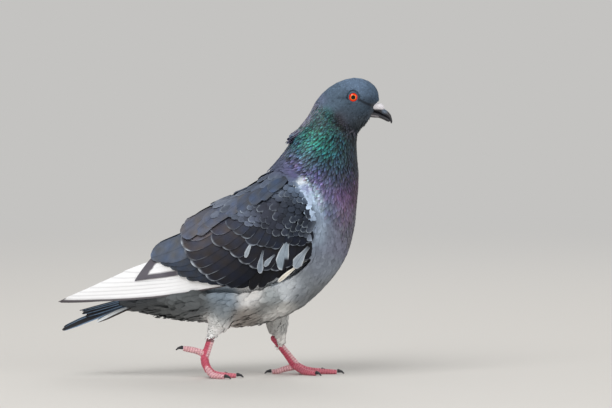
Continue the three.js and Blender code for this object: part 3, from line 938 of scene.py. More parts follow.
def grain_group():
    """Small cells and creases of bare skin, horn and cere: a mask of the creases, where shade is painted, and
    their height.
    """
    if "Grain" in bpy.data.node_groups:
        return bpy.data.node_groups["Grain"]
    group, given, out = new_group(
        "Grain",
        [("Cell", "NodeSocketFloat", 1.0), ("Crease", "NodeSocketFloat", 0.2)],
        [("Mask", "NodeSocketFloat"), ("Height", "NodeSocketFloat")],
    )
    place = add_node(group, "ShaderNodeTexCoord").outputs["Object"]
    scale = maths(group, "DIVIDE", 1000.0, given.outputs["Cell"])
    inputs = {"Vector": place, "Scale": scale}
    cells = add_node(group, "ShaderNodeTexVoronoi", inputs, feature="DISTANCE_TO_EDGE")
    edge = maths(group, "DIVIDE", cells.outputs["Distance"], given.outputs["Crease"], clamp=True)
    group.links.new(maths(group, "SUBTRACT", 1.0, edge), out.inputs["Mask"])
    rough = noise(group, place, scale, 3.0)
    group.links.new(maths(group, "MULTIPLY_ADD", rough, 0.5, edge), out.inputs["Height"])
    return group


def grained_material(name, dark, *, roughness, cell, crease, relief, colour=None, **sockets):
    """Skin or horn: one colour or the painted ones, with painted shade that darkens the creases of a grain.
    The grain's cells and relief are in millimetres."""
    material, tree, shader = new_material(name, roughness, **sockets)
    grain = add_node(tree, "ShaderNodeGroup", node_tree=grain_group())
    grain.inputs["Cell"].default_value = cell
    grain.inputs["Crease"].default_value = crease
    if colour is None:
        ground = add_node(tree, "ShaderNodeVertexColor", layer_name=COLOUR).outputs[0]
    else:
        ground = add_node(tree, "ShaderNodeRGB").outputs[0]
        ground.default_value = (*colour, 1)
    place = add_node(tree, "ShaderNodeTexCoord").outputs["Object"]
    varied = scaled(tree, ground, maths(tree, "MULTIPLY_ADD", noise(tree, place, 250.0, 4.0), 0.5, 0.75))
    # painted shade: the creases take the dark colour
    inputs = {0: grain.outputs["Mask"], 6: varied, 7: (*dark, 1)}
    toned = add_node(tree, "ShaderNodeMix", inputs, data_type="RGBA").outputs[2]
    tree.links.new(toned, shader.inputs["Base Color"])
    bump(tree, shader, grain.outputs["Height"], 0.6, relief)
    return material


# ---------------------------------------------------------------- skin


DEEPEST = 5 * MM  # what the whole of the skin's "depth" weight stands for


def sunk(surface):
    """How far the skin sinks at each of the form's points: the coat's depth, or a third of a thin part."""
    through = []
    for p, n in zip(surface.points.tolist(), surface.normals.tolist()):
        hit = surface.tree.ray_cast(Vector(p) - Vector(n) * 0.1 * MM, -Vector(n))
        through.append(hit[3] if hit[3] is not None else 1.0)
    return np.minimum(skin_depth(surface.points), 0.33 * np.array(through))


class PIGEON_OT_skin(bpy.types.Operator):
    """One skin for head, neck, trunk, wings and thighs, inside the coat"""

    bl_idname = "pigeon.skin"
    bl_label = "Skin"

    def execute(self, context):
        surface = form()
        obj = WORK["form_object"].copy()
        obj.data = WORK["form_object"].data.copy()
        obj.name = "skin"
        context.scene.collection.objects.link(obj)
        weigh(obj, "depth", sunk(surface) / DEEPEST, 40)
        finish(obj, "SMOOTH", factor=0.4, iterations=1)
        finish(obj, "DISPLACE", direction="NORMAL", strength=-DEEPEST, mid_level=0.0, vertex_group="depth")
        voxelled(obj, 1.5, 4)
        without_crumbs(obj)
        # painted shade: the skin takes the coat's markings a fifth darker, as the shade in the gaps between
        # feathers
        paint(obj.data, 0.8 * markings(places_of(obj.data)))
        # the colour of the painted shade in the skin's creases
        dark = srgb(90, 94, 100)
        material = grained_material("skin", dark, roughness=0.8, cell=1.6, crease=0.04, relief=0.1)
        dress(obj, material, "body_plumage", *FLESH)
        return {"FINISHED"}


def skin_depth(points):
    """How far the skin lies below the outline: least on the face, most on the body."""
    head = smooth((points[:, 2] / MM - 196) / 16)
    leg = smooth((40 - points[:, 2] / MM) / 10)
    full = bpy.context.scene.pigeon_plumage.coat_depth
    return np.maximum(full * (1 - 0.8 * head) * (1 - 0.75 * leg), 0.6 * MM)


# ---------------------------------------------------------------- the coat of contour feathers


def coat_sizes(points):
    """Spacing, length, width, lift and ruffle of the coat at points."""
    values = blended(points, MAKE_UP, MAKE_UP[:, 4:])
    values[:, :4] *= MM
    return values


def body_tone(top, s, c, rng):
    """Ground colour, with painted shade that darkens each root a little as under the feathers over it, and
    paler or darker from feather to feather.
    """
    n = len(top)
    tone = markings(top)
    each = 1 + 0.1 * rng.standard_normal((n, 1, 1))
    rim = np.maximum(np.abs(c) ** 3, smooth((s - 0.85) / 0.15))
    # painted shade: the root end is darker, down to 0.88, as under the overlapping feathers; each feather and
    # its rim also vary at random
    light = each * (0.88 + 0.12 * smooth(s / 0.5)) * (1 + 0.06 * rim * rng.uniform(-0.6, 1, (n, 1, 1)))
    dusk = 1 - 0.3 * smooth((top[..., 2] / MM - 160) / 6)
    return tone * (light * dusk)[..., None]


def fringe_tone(top, s, c, rng):
    """The breast's colours, carried back by each feather over the wing's front edge."""
    front = np.broadcast_to(top[:, :1, :1] + (3.5 * MM, 0, 0), top.shape)
    high = smooth((top[..., 2] / MM - 156) / 8)
    return body_tone(mix(front, top, high), s, c, rng)


def down_the_neck(points):
    """Millimetres down the neck from the head's edge, a slanting plane through (70, 230) in the side view."""
    return (0.614 * (0.07 - points[..., 0]) + 0.789 * (0.23 - points[..., 2])) / MM


def neck_tone(top, s, c, rng):
    """Glossy green and purple tips over dark bases and edges, uneven from feather to feather."""
    n = len(top)
    tone = markings(top)
    height = top[:, :1, :1, 2] / MM
    glow = smooth((down_the_neck(top[:, :1, :1]) + 7) / 8) * (0.45 + 0.55 * smooth((height - 150) / 24))
    each = np.exp(rng.normal(0, 0.4, (n, 1, 1)) * glow)
    hue = 1 + 0.1 * rng.standard_normal((n, 1, 1, 3)) * glow[..., None]
    dark = mix(np.ones(3), np.array([0.12, 0.14, 0.18]), (1 - smooth((s - 0.62) / 0.3)) * glow)
    edge = 1 - 0.55 * np.abs(c) ** 2 * glow
    nape = smooth((14 - np.abs(top[:, :1, :1, 1]) / MM) / 7) * smooth((height - 198) / 8) * glow
    streak = rng.uniform(0, 1, (n, 1, 1)) ** 1.6 * nape * (1 - np.abs(c))
    out = mix(tone * hue * (each * edge)[..., None] * dark, srgb(196, 190, 214), 0.8 * streak)
    plain = 1 + 0.13 * rng.standard_normal((n, 1, 1))
    return out * (1 + (plain - 1) * (1 - glow))[..., None]


def tuft_tone(top, s, c, rng):
    """Lilac grey, each feather its own."""
    pale = rng.uniform(0.35, 0.95, (len(top), 1, 1)) * smooth((s - 0.05) / 0.25)
    pale = pale * (1 - 0.35 * np.abs(c) ** 3)
    return mix(neck_tone(top, s, c, rng), srgb(160, 154, 186), pale)


def comb_zone(coat, zones, rooted, part, kind, keep=None, most=(np.inf,) * 5):
    """Combs a kind of feather over zones of the form, rooted where `rooted` says. most holds the most that
    spacing, length, width, lift and ruffle may be."""
    surface, rng = form(), dice(part)
    limit = np.array(most) * (MM, MM, MM, MM, 1)
    spacing = np.minimum(coat_sizes(surface.centres), limit)[:, 0] * bpy.context.scene.pigeon_plumage.spacing
    allowed = in_zone(surface, *zones) & rooted(surface.centres)
    roots = scatter(surface, allowed, spacing, rng)
    at = np.minimum(coat_sizes(roots), limit)
    depth = np.maximum(0.3 * skin_depth(roots), 0.35 * MM)
    combed(surface, coat, roots, at[:, 1], at[:, 2], rng, kind, depth, at[:, 3], at[:, 4], keep)


HEAD = feather("round", (0, 0.35, 0.7, 1), (-1, 0, 1), neck_tone, (100, 0, 225), (1, 0, 0.1), crown=0.015)
NECK = feather("narrow", (0, 0.3, 0.55, 0.8, 1), (-1, 0, 1), neck_tone, (85, 0, 165), (0.25, 0, 1))
RUFFLED = {**NECK, "colour": tuft_tone}
BODY_ROWS, BODY_COLUMNS = (0, 0.25, 0.5, 0.75, 0.9, 1), (-1, -0.6, 0, 0.6, 1)
BODY = feather("round", BODY_ROWS, BODY_COLUMNS, body_tone, (15, 0, 98), (1, 0, 0.5), crown=0.015)
FRINGE = {**BODY, "colour": fringe_tone}
BOOT = feather("loose", (0, 0.3, 0.6, 0.85, 1), (-1, 0, 1), body_tone, (18, 0, 40), (0, 0, 1), crown=0.01)
BOOT_MOST = (1.6, 7.5, 2.6, 0.0, 0.5)

EYE = (106.2, 13.0, 229.3)
BARE = 3.5  # radius of the bare ring round the eye


def off_the_face(points):
    """True where feathers may root: not on the eye's ring, the cere or the gape."""
    p = points / MM
    eye = np.hypot(p[:, 0] - EYE[0], p[:, 2] - EYE[2]) > BARE
    bill = (p[:, 0] < 121) | (p[:, 2] > 225) | (p[:, 2] < 209.5)
    return eye & bill


class PIGEON_OT_head_coat(bpy.types.Operator):
    """Short, dense feathers of the head"""

    bl_idname = "pigeon.head_coat"
    bl_label = "Head feathers"

    def execute(self, context):
        coat = Coat()
        comb_zone(coat, ("head",), lambda p: off_the_face(p) & (down_the_neck(p) < 2), "head", HEAD)
        material = plumage_material("head_plumage", 0.75, gap=0.5, shade=0.08, relief=0.02)
        settle(coat.build("head_feathers", material, soft=0.65), "head_plumage")
        return {"FINISHED"}


def neck_feathered(points):
    """The neck, and as much of the head's back as carries the neck's feathers."""
    return (down_the_neck(points) >= 2) | (points[:, 2] < 0.2)


TUFT = np.array((64, 0, 202, 3.5, 9, 3.5))  # the hind neck's ruffled tuft: its middle, and how far it spreads


def add_tuft(coat, count=48):
    """Longer, paler feathers that stand off the hind neck, rooted round the tuft's middle."""
    surface, rng = form(), dice("tuft")
    roots = surface.near(TUFT[:3] * MM + rng.uniform(-1, 1, (count, 3)) * TUFT[3:] * MM)[0]
    size = np.full(count, MM)
    ruffle = np.full(count, 0.35)
    combed(surface, coat, roots, 13.5 * size, 3.2 * size, rng, RUFFLED, 1.0 * size, 2.2 * size, ruffle)


class PIGEON_OT_neck_coat(bpy.types.Operator):
    """Narrow, glossy feathers of the neck"""

    bl_idname = "pigeon.neck_coat"
    bl_label = "Neck feathers"

    def execute(self, context):
        coat = Coat()
        comb_zone(coat, ("neck", "head"), neck_feathered, "neck", NECK)
        add_tuft(coat)
        material = plumage_material(
            "neck_plumage", 0.5, gap=0.8, shade=0.15, mottle=0.3, relief=0.03, specular=0.35, Metallic=0.1
        )
        settle(coat.build("neck_feathers", material, soft=0.4), "neck_plumage")
        return {"FINISHED"}


def behind_crescent(points):
    """The part of the wing behind the pale crescent of breast feathers that overlaps its front edge."""
    p = points / MM
    return p[:, 0] < np.interp(p[:, 2], (100, 120, 136, 148, 161, 170), (78, 77, 75.3, 72.4, 66.6, 58))


def clear_of_wings(mids):
    """False for the feathers that would lie on the folded quills behind the shoulder."""
    trees = [tree_of(f"{part}_{side}") for side in SIDES for part in ("wing", "primaries")]
    x, out, z = mids[..., 0] / MM, np.abs(mids[..., 1]) / MM, mids[..., 2] / MM
    high = np.any((z > 73.5 + 0.085 * x) & (x < 8) & (out > 15), 1)
    behind = x[:, 0] <= 45
    free = ~(behind & high)
    for k in np.flatnonzero(behind & ~high):
        outward = Vector((0, -1 if mids[k, 0, 1] < 0 else 1, 0))
        for p in mids[k].tolist():
            for tree in trees:
                near = tree.find_nearest(p, 1.2 * MM)[0] is not None
                if near or tree.ray_cast(Vector(p), outward)[0] is not None:
                    free[k] = False
    return free


def booted(points):
    """The part of each thigh that carries feathers: the tarsus comes out bare behind the left one."""
    p = points / MM
    return np.where(p[:, 1] < 0, p[:, 2] > 36, (p[:, 2] > 35) | (p[:, 0] > 44))


class PIGEON_OT_body_coat(bpy.types.Operator):
    """Soft feathers of breast, belly, back and vent, and the thighs' boots"""

    bl_idname = "pigeon.body_coat"
    bl_label = "Body feathers"

    def execute(self, context):
        coat, boots = Coat(), Coat()
        comb_zone(coat, ("trunk",), lambda p: p[:, 0] > -0.077, "body", BODY, keep=clear_of_wings)
        comb_zone(coat, ("wing_right", "wing_left"), lambda p: ~behind_crescent(p), "fringe", FRINGE)
        comb_zone(boots, ("thigh_right", "thigh_left"), booted, "boots", BOOT, most=BOOT_MOST)
        material = plumage_material("body_plumage", 0.85, gap=1.1, shade=0.08, relief=0.04)
        settle(coat.build("body_feathers", material, soft=0.75), "body_plumage")
        settle(boots.build("thigh_feathers", material, soft=0.9), "thigh_plumage")
        return {"FINISHED"}


# ---------------------------------------------------------------- wings


def tree_of(node):
    """A solid's surface, for finding the nearest place on it and for casting rays."""
    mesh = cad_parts[node].data
    return BVHTree.FromPolygons([v.co for v in mesh.vertices], [p.vertices for p in mesh.polygons])


class Sheet:
    """The right wing's outer face as a distance from the midline over (x, z): read off the wing and the
    primaries, off the back above the wing, and carried on past their edges."""

    LOW, STEP, SIZE = np.array((-0.150, 0.045)), 0.002, (121, 73)  # first cell, step and count over (x, z)
    CARRYING, SMOOTHING = 900, 6  # rounds that carry the sheet on past the edges, and that smooth it
    ABOVE = 2.2 * MM  # how far it stands off the primaries

    def __init__(self):
        far = np.full(self.SIZE, np.nan)
        wing, primaries, back = tree_of("wing_right"), tree_of("primaries_right"), form().tree

        def reach(tree, i, j):
            x, z = self.LOW + self.STEP * np.array((i, j))
            hit = tree.ray_cast(Vector((x, -0.2, z)), Vector((0, 1, 0)))[0]
            return None if hit is None else -hit.y

        for i in range(self.SIZE[0]):
            top = None
            for j in range(self.SIZE[1]):
                found = reach(wing, i, j)
                if found is not None:
                    top = j
                elif top is not None and j > top + 1:
                    found = reach(back, i, j)
                elif (found := reach(primaries, i, j)) is not None:
                    found += self.ABOVE
                if found is not None:
                    far[i, j] = found
        known = ~np.isnan(far)
        value = np.where(known, far, far[known].mean())
        for _ in range(self.CARRYING):
            value = np.where(known, far, neighbours(value) / 4)
        for _ in range(self.SMOOTHING):
            value = (neighbours(value) + 2 * value) / 6
        self.maps = np.stack([value, *np.gradient(value, self.STEP)], -1)

    def at(self, flat, height):
        """Places and normals over (x, z), raised by `height` off the sheet."""
        cell = np.clip((flat - self.LOW) / self.STEP, 0, np.array(self.SIZE) - 1.001)
        i, f = cell.astype(int), cell - cell.astype(int)
        got = 0
        for di, wi in ((0, 1 - f[..., 0]), (1, f[..., 0])):
            for dj, wj in ((0, 1 - f[..., 1]), (1, f[..., 1])):
                got = got + self.maps[i[..., 0] + di, i[..., 1] + dj] * (wi * wj)[..., None]
        normals = unit(np.stack([-got[..., 1], -np.ones_like(got[..., 0]), -got[..., 2]], -1))
        places = np.stack([flat[..., 0], -got[..., 0], flat[..., 1]], -1)
        return places + normals * height[..., None], normals


def neighbours(value):
    """The sum of each cell's four neighbours on a grid."""
    padded = np.pad(value, 1, "edge")
    return padded[:-2, 1:-1] + padded[2:, 1:-1] + padded[1:-1, :-2] + padded[1:-1, 2:]


class Roof:
    """The closed tail's upper face over (x, y): a roof that falls away from its ridge."""

    def at(self, flat, height):
        x, y = flat[..., 0] / MM, flat[..., 1] / MM
        fall, arch = 0.2825, 0.041
        z = 71 + fall * (x + 58) - arch * y**2
        normals = unit(np.stack([-fall * np.ones_like(x), 2 * arch * y, np.ones_like(x)], -1))
        return np.stack([x, y, z], -1) * MM + normals * height[..., None], normals


def along_line(line, shares):
    """Points at even shares along a line of knots."""
    steps = np.concatenate([[0], np.cumsum(np.linalg.norm(np.diff(line, axis=0), axis=1))])
    return np.stack([np.interp(shares * steps[-1], steps, line[:, k]) for k in range(2)], 1)


COLUMNS = (-1, -0.92, -0.72, -0.38, 0, 0.38, 0.72, 0.92, 1)
ROWS = (0, 0.12, 0.26, 0.4, 0.54, 0.67, 0.79, 0.89, 0.955, 1)
FINE_COLUMNS = tuple(np.sin(np.linspace(-1, 1, 15) * math.pi / 2))
FINE_ROWS = tuple(np.sin(np.linspace(0, 1, 26) * math.pi / 2))


def tract(
    sheet, coat, roots, tips, width, rng, *, base, crest, tone, shape="covert", bend=0.0, tilt=0.1,
    camber=0.05, step=0.0, rows=ROWS, columns=COLUMNS, thick=0.16, ragged=0.0, lean=0.0,
):
    """A row of large feathers on a sheet, in millimetres. roots and tips are (vane, 2) places on the sheet's
    plan, base and crest the heights of root and tip, and each vane lies `step` lower than the last. A vane
    that leans has its tip's upper corner cut away, by `lean` half widths."""
    n = len(roots)
    s, c = np.array(rows, float), np.array(columns, float)
    roots, tips = roots * MM, tips * MM
    width = np.broadcast_to(np.array(width, float) * MM, (n,))
    tips = tips + rng.normal(0, ragged * MM, tips.shape)
    length = np.linalg.norm(tips - roots, axis=1)
    ahead = (tips - roots) / length[:, None]
    lower = np.stack([-ahead[:, 1], ahead[:, 0]], 1)
    mid = roots[:, None] + (tips - roots)[:, None] * s[None, :, None]
    mid = mid + lower[:, None] * (bend * length)[:, None, None] * (4 * s * (1 - s))[None, :, None]
    share, short = shaped(shape, s, c)
    half = width[:, None] * share[None] / 2
    side = half[..., None] * c
    cut = np.maximum(s - 0.5, 0)[:, None] * (1 - c)
    tuck = (short + lean * cut) * width[:, None, None] / 2
    flat = mid[:, :, None] + lower[:, None, None] * side[..., None]
    flat = flat - ahead[:, None, None] * tuck[..., None]
    order = np.arange(n)[:, None, None]
    height = base + (crest - base) * smooth(s * 1.15)[None, :, None] - order * step
    height = height * MM + tilt * half[..., None] * c + camber * width[:, None, None] * (1 - c**2)
    top, normals = sheet.at(flat, height)
    grids = (np.broadcast_to(v, height.shape) for v in (s[:, None], c, order))
    colours = tone(top, *grids, half[..., None] * 2 / MM)
    coat.add(top, normals, np.full((n, 1, 1, 1), thick * MM), colours, own_map(side, length[:, None] * s))


def rimmed(first, last, rim, share=0.8, breadth=0.9, spread=0.08, seed=5, root_shade=0.35, turn=1.0):
    """A tone for coverts, from the first vane's ground colour to the last one's, with a pale rim round the
    tip. share and breadth are the rim's strength and millimetres, spread how much the vanes differ, the
    setting after seed how much darker the roots are painted, as shade under the vanes that overlap them, and
    turn how late the ground turns to its last colour."""

    def tone(top, s, c, k, width):
        rng = np.random.default_rng(seed)
        count = int(k.max()) + 1
        each = 1 + spread * rng.standard_normal(count)
        strength = share * rng.uniform(0.4, 1.0, count)
        phase, waves = rng.uniform(0, 6.3, count), rng.uniform(2, 7, count)
        ground = mix(srgb(*first), srgb(*last), (np.arange(count) / (count - 1)) ** turn)
        # painted shade: the roots are darker, as under the vanes that overlap them
        base = ground[k] * (each[k] * (1 - root_shade * (1 - smooth(s / 0.7))))[..., None]
        x, z = top[..., 0] / MM, top[..., 2] / MM
        bloom = np.sin(0.31 * x + 0.23 * z + 1.7 * k) * np.sin(0.17 * x - 0.35 * z + 0.9 * k)
        base = base * (1 + bloom[..., None] * (-0.12, 0.02, 0.22))
        side = smooth(1 - (1 - np.abs(c)) * width / 2 / breadth) * smooth((s - 0.68) / 0.2)
        end = smooth((s - 0.95) / 0.05)
        worn = 0.62 + 0.38 * np.sin(phase[k] + waves[k] * c * (1 + 0.3 * s))
        return mix(base, srgb(*rim), strength[k] * worn * np.maximum(0.6 * side, end))

    return tone


# Pied feathers of the wing in the side view: root (x, z), tip (x, z), width, and colour of 0 to 255.
PIED = table(
    (54.5, 120, 46.8, 91.0, 10.5, 148, 162, 174),
    (69.5, 109.5, 57.6, 92.6, 8.5, 152, 163, 175),
    (33, 107, 30.2, 88.4, 5.2, 136, 147, 160),
    (42.5, 103.5, 33.8, 94, 4.2, 144, 154, 166),
    (25.5, 116, 18.6, 101, 3.6, 168, 178, 188),
    (66, 97.5, 44.5, 81.5, 3.4, 246, 240, 226),
)


def pied_tone(top, s, c, k, width):
    """Pale webs with a brighter rim. The first has a dark corner on its front web."""
    base = srgb(PIED[:, 5:])[k] * (1 - 0.25 * smooth((0.5 - s) / 0.4))[..., None]
    fibres = 1 + 0.1 * np.sin(23 * c + 4 * k) * np.sin(9 * c)
    rim = np.maximum(smooth((np.abs(c) - 0.75) / 0.2), smooth((s - 0.93) / 0.07))
    out = mix(base * fibres[..., None], srgb(214, 220, 226), 0.7 * rim)
    corner = smooth((c - 0.15) / 0.25) * smooth((s - 0.6) / 0.12) * (k == 0)
    root = smooth((0.25 - s) / 0.2)
    return mix(out, srgb(24, 26, 34), np.maximum(corner, 0.85 * root))


# Rows of the wing's large coverts and inner quills: knots (x, z) of the roots' line, then of the tips' line.
TERTIALS = (
    table((-10, 123), (0, 115), (14, 104), (33, 90)),
    table((-59, 98), (-51, 95), (-42, 91.5), (-35.5, 85.5), (-27, 82), (-10, 80), (4, 78)),
)
INNER = (
    table((0, 136), (11, 129), (20, 114), (31, 98)),
    table((-32, 117), (-32.5, 109), (-28, 99), (-19.5, 90.5), (-10, 83), (2, 79)),
)
GREATER = (
    table((17, 139), (30, 129), (45, 121), (58, 115), (66, 111)),
    table(
        (-11, 121), (-7, 114), (0, 108), (9, 101), (18, 96), (27, 92), (37, 89), (48, 92), (58, 95), (66, 99)
    ),
)
MEDIAN = (
    table((27, 145), (46, 133), (58, 129), (68, 126)),
    table((4, 124), (14, 117), (26, 111), (38, 109), (50, 111), (61, 110), (69, 113)),
)
SECONDARIES = (
    table((34, 98), (50, 97), (68, 102)),
    table((22, 73.5), (31, 77), (39, 82), (48, 87), (57, 91.5)),
)
EDGE = (table((62, 110), (71, 114)), table((53, 86), (66, 97)))
SCAPULARS = (
    table((-3, 139), (13, 146), (26, 151), (40, 158), (52, 164)),
    table((-32, 115), (-13, 125), (4, 135.5), (22, 141), (32, 148), (38, 153)),
)
FIRST_PRIMARY = (table((-14.9, 97)), table((-74.2, 88)))
PRIMARY_ROOTS = table((-14, 96), (0, 89), (14, 81))
PRIMARY_TIPS = table(
    (-84, 92.5), (-94, 87.5), (-103, 83.3), (-112, 79.2),
    (-120, 75.5), (-127, 72.3), (-132.5, 69.8), (-137, 67.3),
)


QUILL_WHITE = srgb(244, 244, 245)


def first_primary_tone(top, s, c, k, width):
    """White, with a grey-brown margin along its tip and its lower edge."""
    from_end = (1 - s) * (60 - 15 * (1 - c))
    margin = smooth((9 - from_end) / 1.0 + 0.5)
    margin = np.maximum(margin, smooth((c - 0.56) / 0.06) * smooth((s - 0.3) / 0.1))
    return mix(np.broadcast_to(QUILL_WHITE, top.shape), srgb(84, 80, 89), margin)


def primary_tone(top, s, c, k, width):
    """White quills, with painted shade of grey along each one's lower edge. The longest has a dark leading
    edge, and the wing a dark tip.
    """
    white = np.broadcast_to(QUILL_WHITE, top.shape)
    # painted shade: faint grey along each quill's lower edge, where it lies over the next
    out = mix(white, srgb(150, 146, 150), 0.35 * smooth((c - 0.86) / 0.1) * smooth((s - 0.2) / 0.3))
    last = k == int(k.max())
    edge = np.where(last, smooth((c - 0.7) / 0.08), 0)
    tip = smooth((-128.5 - top[..., 0] / MM) / 1.2)
    return mix(out, srgb(74, 68, 72), np.maximum(edge, tip))


def flight_feathers(sheet, rng):
    """The folded primaries of the right wing, the first one over the rest."""
    coat, count = Coat(), len(PRIMARY_TIPS)
    roots = along_line(PRIMARY_ROOTS, np.linspace(0, 1, count))
    fine = dict(tilt=0.05, camber=0.02, thick=0.2, rows=FINE_ROWS, columns=FINE_COLUMNS)
    tract(
        sheet, coat, roots, PRIMARY_TIPS, 12.5, rng, base=-2.2, crest=-1.5, step=0.12, tone=primary_tone,
        shape="primary", bend=0.01, lean=5.0, **fine,
    )
    tract(
        sheet, coat, *FIRST_PRIMARY, 17, rng, base=-1.9, crest=-1.1, tone=first_primary_tone, shape="blade",
        lean=1.8, **fine,
    )
    return coat


def dark_quills(sheet, rng):
    """The right wing's tertials, secondaries, larger coverts, scapulars and pied feathers, in that order
    from the body outwards."""
    coat = Coat()
    brown, slate, black = (100, 96, 104), (86, 94, 109), (16, 18, 24)
    fine = dict(rows=(0, 0.2, 0.34, *np.linspace(0.42, 1, 28)), columns=tuple(np.linspace(-1, 1, 19)))

    def row(line, count, widest, narrowest, base, crest, tone, shape="covert", **rest):
        shares, width = np.linspace(0, 1, count), np.linspace(widest, narrowest, count)
        roots, tips = along_line(line[0], shares), along_line(line[1], shares)
        tract(sheet, coat, roots, tips, width, rng, base=base, crest=crest, tone=tone, shape=shape, **rest)

    rim = (120, 136, 156)
    tone = rimmed(slate, (14, 19, 31), rim, share=0.5, breadth=0.5, spread=0.06, seed=3, root_shade=0.3, turn=0.5)
    low = dict(step=0.16, bend=0.04, tilt=0.07, camber=0.015, ragged=0.4)
    row(TERTIALS, 9, 20, 13, -1.4, -0.2, tone, "quill", **low)
    rim = (214, 216, 218)
    tone = rimmed((15, 16, 22), (20, 22, 30), rim, share=0.9, breadth=0.4, spread=0.1, seed=4, root_shade=0.2)
    row(SECONDARIES, 6, 8.5, 8.5, -1.3, -0.4, tone, "quill", step=0.05, ragged=0.4, tilt=0.12, camber=0.02)
    rim = (200, 210, 222)
    tone = rimmed(brown, (13, 18, 31), rim, share=1.0, breadth=0.85, spread=0.08, seed=6, root_shade=0.25, turn=0.3)
    row(INNER, 8, 20, 13, -0.6, 0.7, tone, step=0.05, ragged=0.6, bend=0.03, tilt=0.09, camber=0.02, **fine)
    tone = rimmed(black, black, (220, 224, 226), share=0.9, breadth=0.5, spread=0.05, seed=7, root_shade=0.1)
    row(EDGE, 3, 7, 7, 0.0, 0.3, tone, "quill", step=0.05, tilt=0.1)
    first, last = (78, 76, 87), (10, 14, 25)
    tone = rimmed(first, last, rim, share=0.9, breadth=0.7, spread=0.12, seed=8, root_shade=0.25, turn=0.3)
    row(GREATER, 11, 16, 12, 0.2, 1.4, tone, step=0.03, ragged=0.8, bend=0.03, tilt=0.1, camber=0.02, **fine)
    first, last, rim = (60, 63, 77), (17, 24, 38), (176, 188, 202)
    tone = rimmed(first, last, rim, share=0.8, breadth=0.6, spread=0.2, seed=9, root_shade=0.3, turn=0.35)
    row(MEDIAN, 11, 13, 10, 0.8, 1.9, tone, step=0.02, ragged=1.0, tilt=0.1, camber=0.02, **fine)
    tone = rimmed((97, 99, 111), (72, 84, 104), (140, 150, 166), share=0.4, breadth=0.6, spread=0.12, seed=12)
    row(SCAPULARS, 9, 14, 8, 1.2, 2.6, tone, step=0.02, ragged=0.8, tilt=0.09, camber=0.03)
    tract(
        sheet, coat, PIED[:, :2], PIED[:, 2:4], PIED[:, 4], rng, base=1.7, crest=2.4, tone=pied_tone,
        shape="wedge", bend=-0.03, tilt=0.04, camber=0.03, **fine,
    )
    return coat


def covert_tone(top, s, c, rng):
    """Dark slate of the small coverts, with painted shade at their roots and a pale edge on some, and
    brown-grey scapulars above.
    """
    n = len(top)
    tone = markings(top)
    each = 1 + 0.16 * rng.standard_normal((n, 1, 1))
    rim = np.maximum(np.abs(c) ** 6, smooth((s - 0.9) / 0.1)) * smooth((s - 0.5) / 0.3)
    low = smooth((140 - top[:, :1, :1, 2] / MM) / 12)
    pale = rng.uniform(0, 1, (n, 1, 1)) ** (3.5 - 1.7 * low)
    # painted shade: the root end is darker, down to 0.65, as under the overlapping coverts; each covert also
    # varies at random
    light = each * (0.65 + 0.35 * smooth(s / 0.6))
    return mix(tone * light[..., None], srgb(182, 194, 206), 0.75 * rim * pale)


def above_crease(points):
    """The wing's upper part, which the small coverts and scapulars cover."""
    p = points / MM
    edge = np.interp(p[:, 0], (-70, -31, -30, 5, 30, 50, 70, 90), (300, 300, 300, 141, 131, 124, 120, 119))
    return p[:, 2] > edge


def above_scapulars(points):
    """0 to 1 across the crease where the scapulars lie over the small coverts."""
    p = points / MM
    crease = np.interp(p[:, 0], (-40, -2, 13, 27, 47, 70), (112, 129, 136, 141, 157, 170))
    return smooth((p[:, 2] - crease) / 3)


def small_coverts():
    """The right wing's small coverts, and above them the longer, loose scapulars."""
    coat, surface, rng = Coat(), form(), dice("coverts")
    at = surface.centres
    allowed = in_zone(surface, "wing_right") & above_crease(at) & behind_crescent(at)
    roots = scatter(surface, allowed, (3.5 + 3.4 * above_scapulars(at)) * MM, rng)
    x, z = roots[:, 0] / MM, roots[:, 2] / MM
    scapular, front = above_scapulars(roots), smooth((x - 45) / 20)
    length = (11 + 8 * scapular - 2.5 * front) * MM
    width = (7.2 + 3.3 * scapular - 1.6 * front) * MM
    depth, ruffle = np.full(len(roots), 1.6 * MM), np.full(len(roots), 0.4)
    onto = np.interp(x, MEDIAN[0][:, 0], MEDIAN[0][:, 1]) + 9 - z
    over, lift = 2.0 * MM * smooth(onto / 6), (0.6 - 0.15 * scapular) * MM
    combed(surface, coat, roots, length, width, rng, COVERT, depth, lift, ruffle, over=over)
    return coat


COVERT_COLUMNS = (-1, -0.85, -0.45, 0, 0.45, 0.85, 1)
COVERT = feather("round", BODY_ROWS, COVERT_COLUMNS, covert_tone, (10, 0, 98), (1, 0, 0.5))


class PIGEON_OT_wings(bpy.types.Operator):
    """Coverts, scapulars and flight feathers of both folded wings"""

    bl_idname = "pigeon.wings"
    bl_label = "Wings"

    def execute(self, context):
        sheet, rng = Sheet(), dice("quills")
        white = flight_feathers(sheet, rng)
        dark, small = dark_quills(sheet, rng), small_coverts()
        quill = plumage_material("wing_quills", 0.55, gap=1.1, shade=0.2, mottle=0.7, shaft=0.3)
        covert = plumage_material("wing_coverts", 0.6, gap=1.0, shade=0.15, mottle=0.6, shaft=0.15)
        pale = plumage_material(
            "white_quills", 0.6, gap=1.2, shade=0.06, mottle=0.04, shaft=0.1, specular=0.5
        )
        for side in SIDES:
            far = side == "left"
            settle(dark.build(f"wing_quills_{side}", quill, soft=0.45, mirrored=far), "wing_plumage")
            settle(small.build(f"wing_coverts_{side}", covert, soft=0.6, mirrored=far), "wing_plumage")
            flight = white.build(f"flight_feathers_{side}", pale, soft=0.45, mirrored=far, drop=3.0 * far)
            settle(flight, "white_plumage", f"primaries_{side}")
        return {"FINISHED"}


# ---------------------------------------------------------------- tail

# Tips of the right half's quills from the middle out, as (x, y).
TAIL_TIPS = table((-118, -1.5), (-116, -4.5), (-116, -7), (-113, -11), (-132, -15.2), (-104, -16.4))


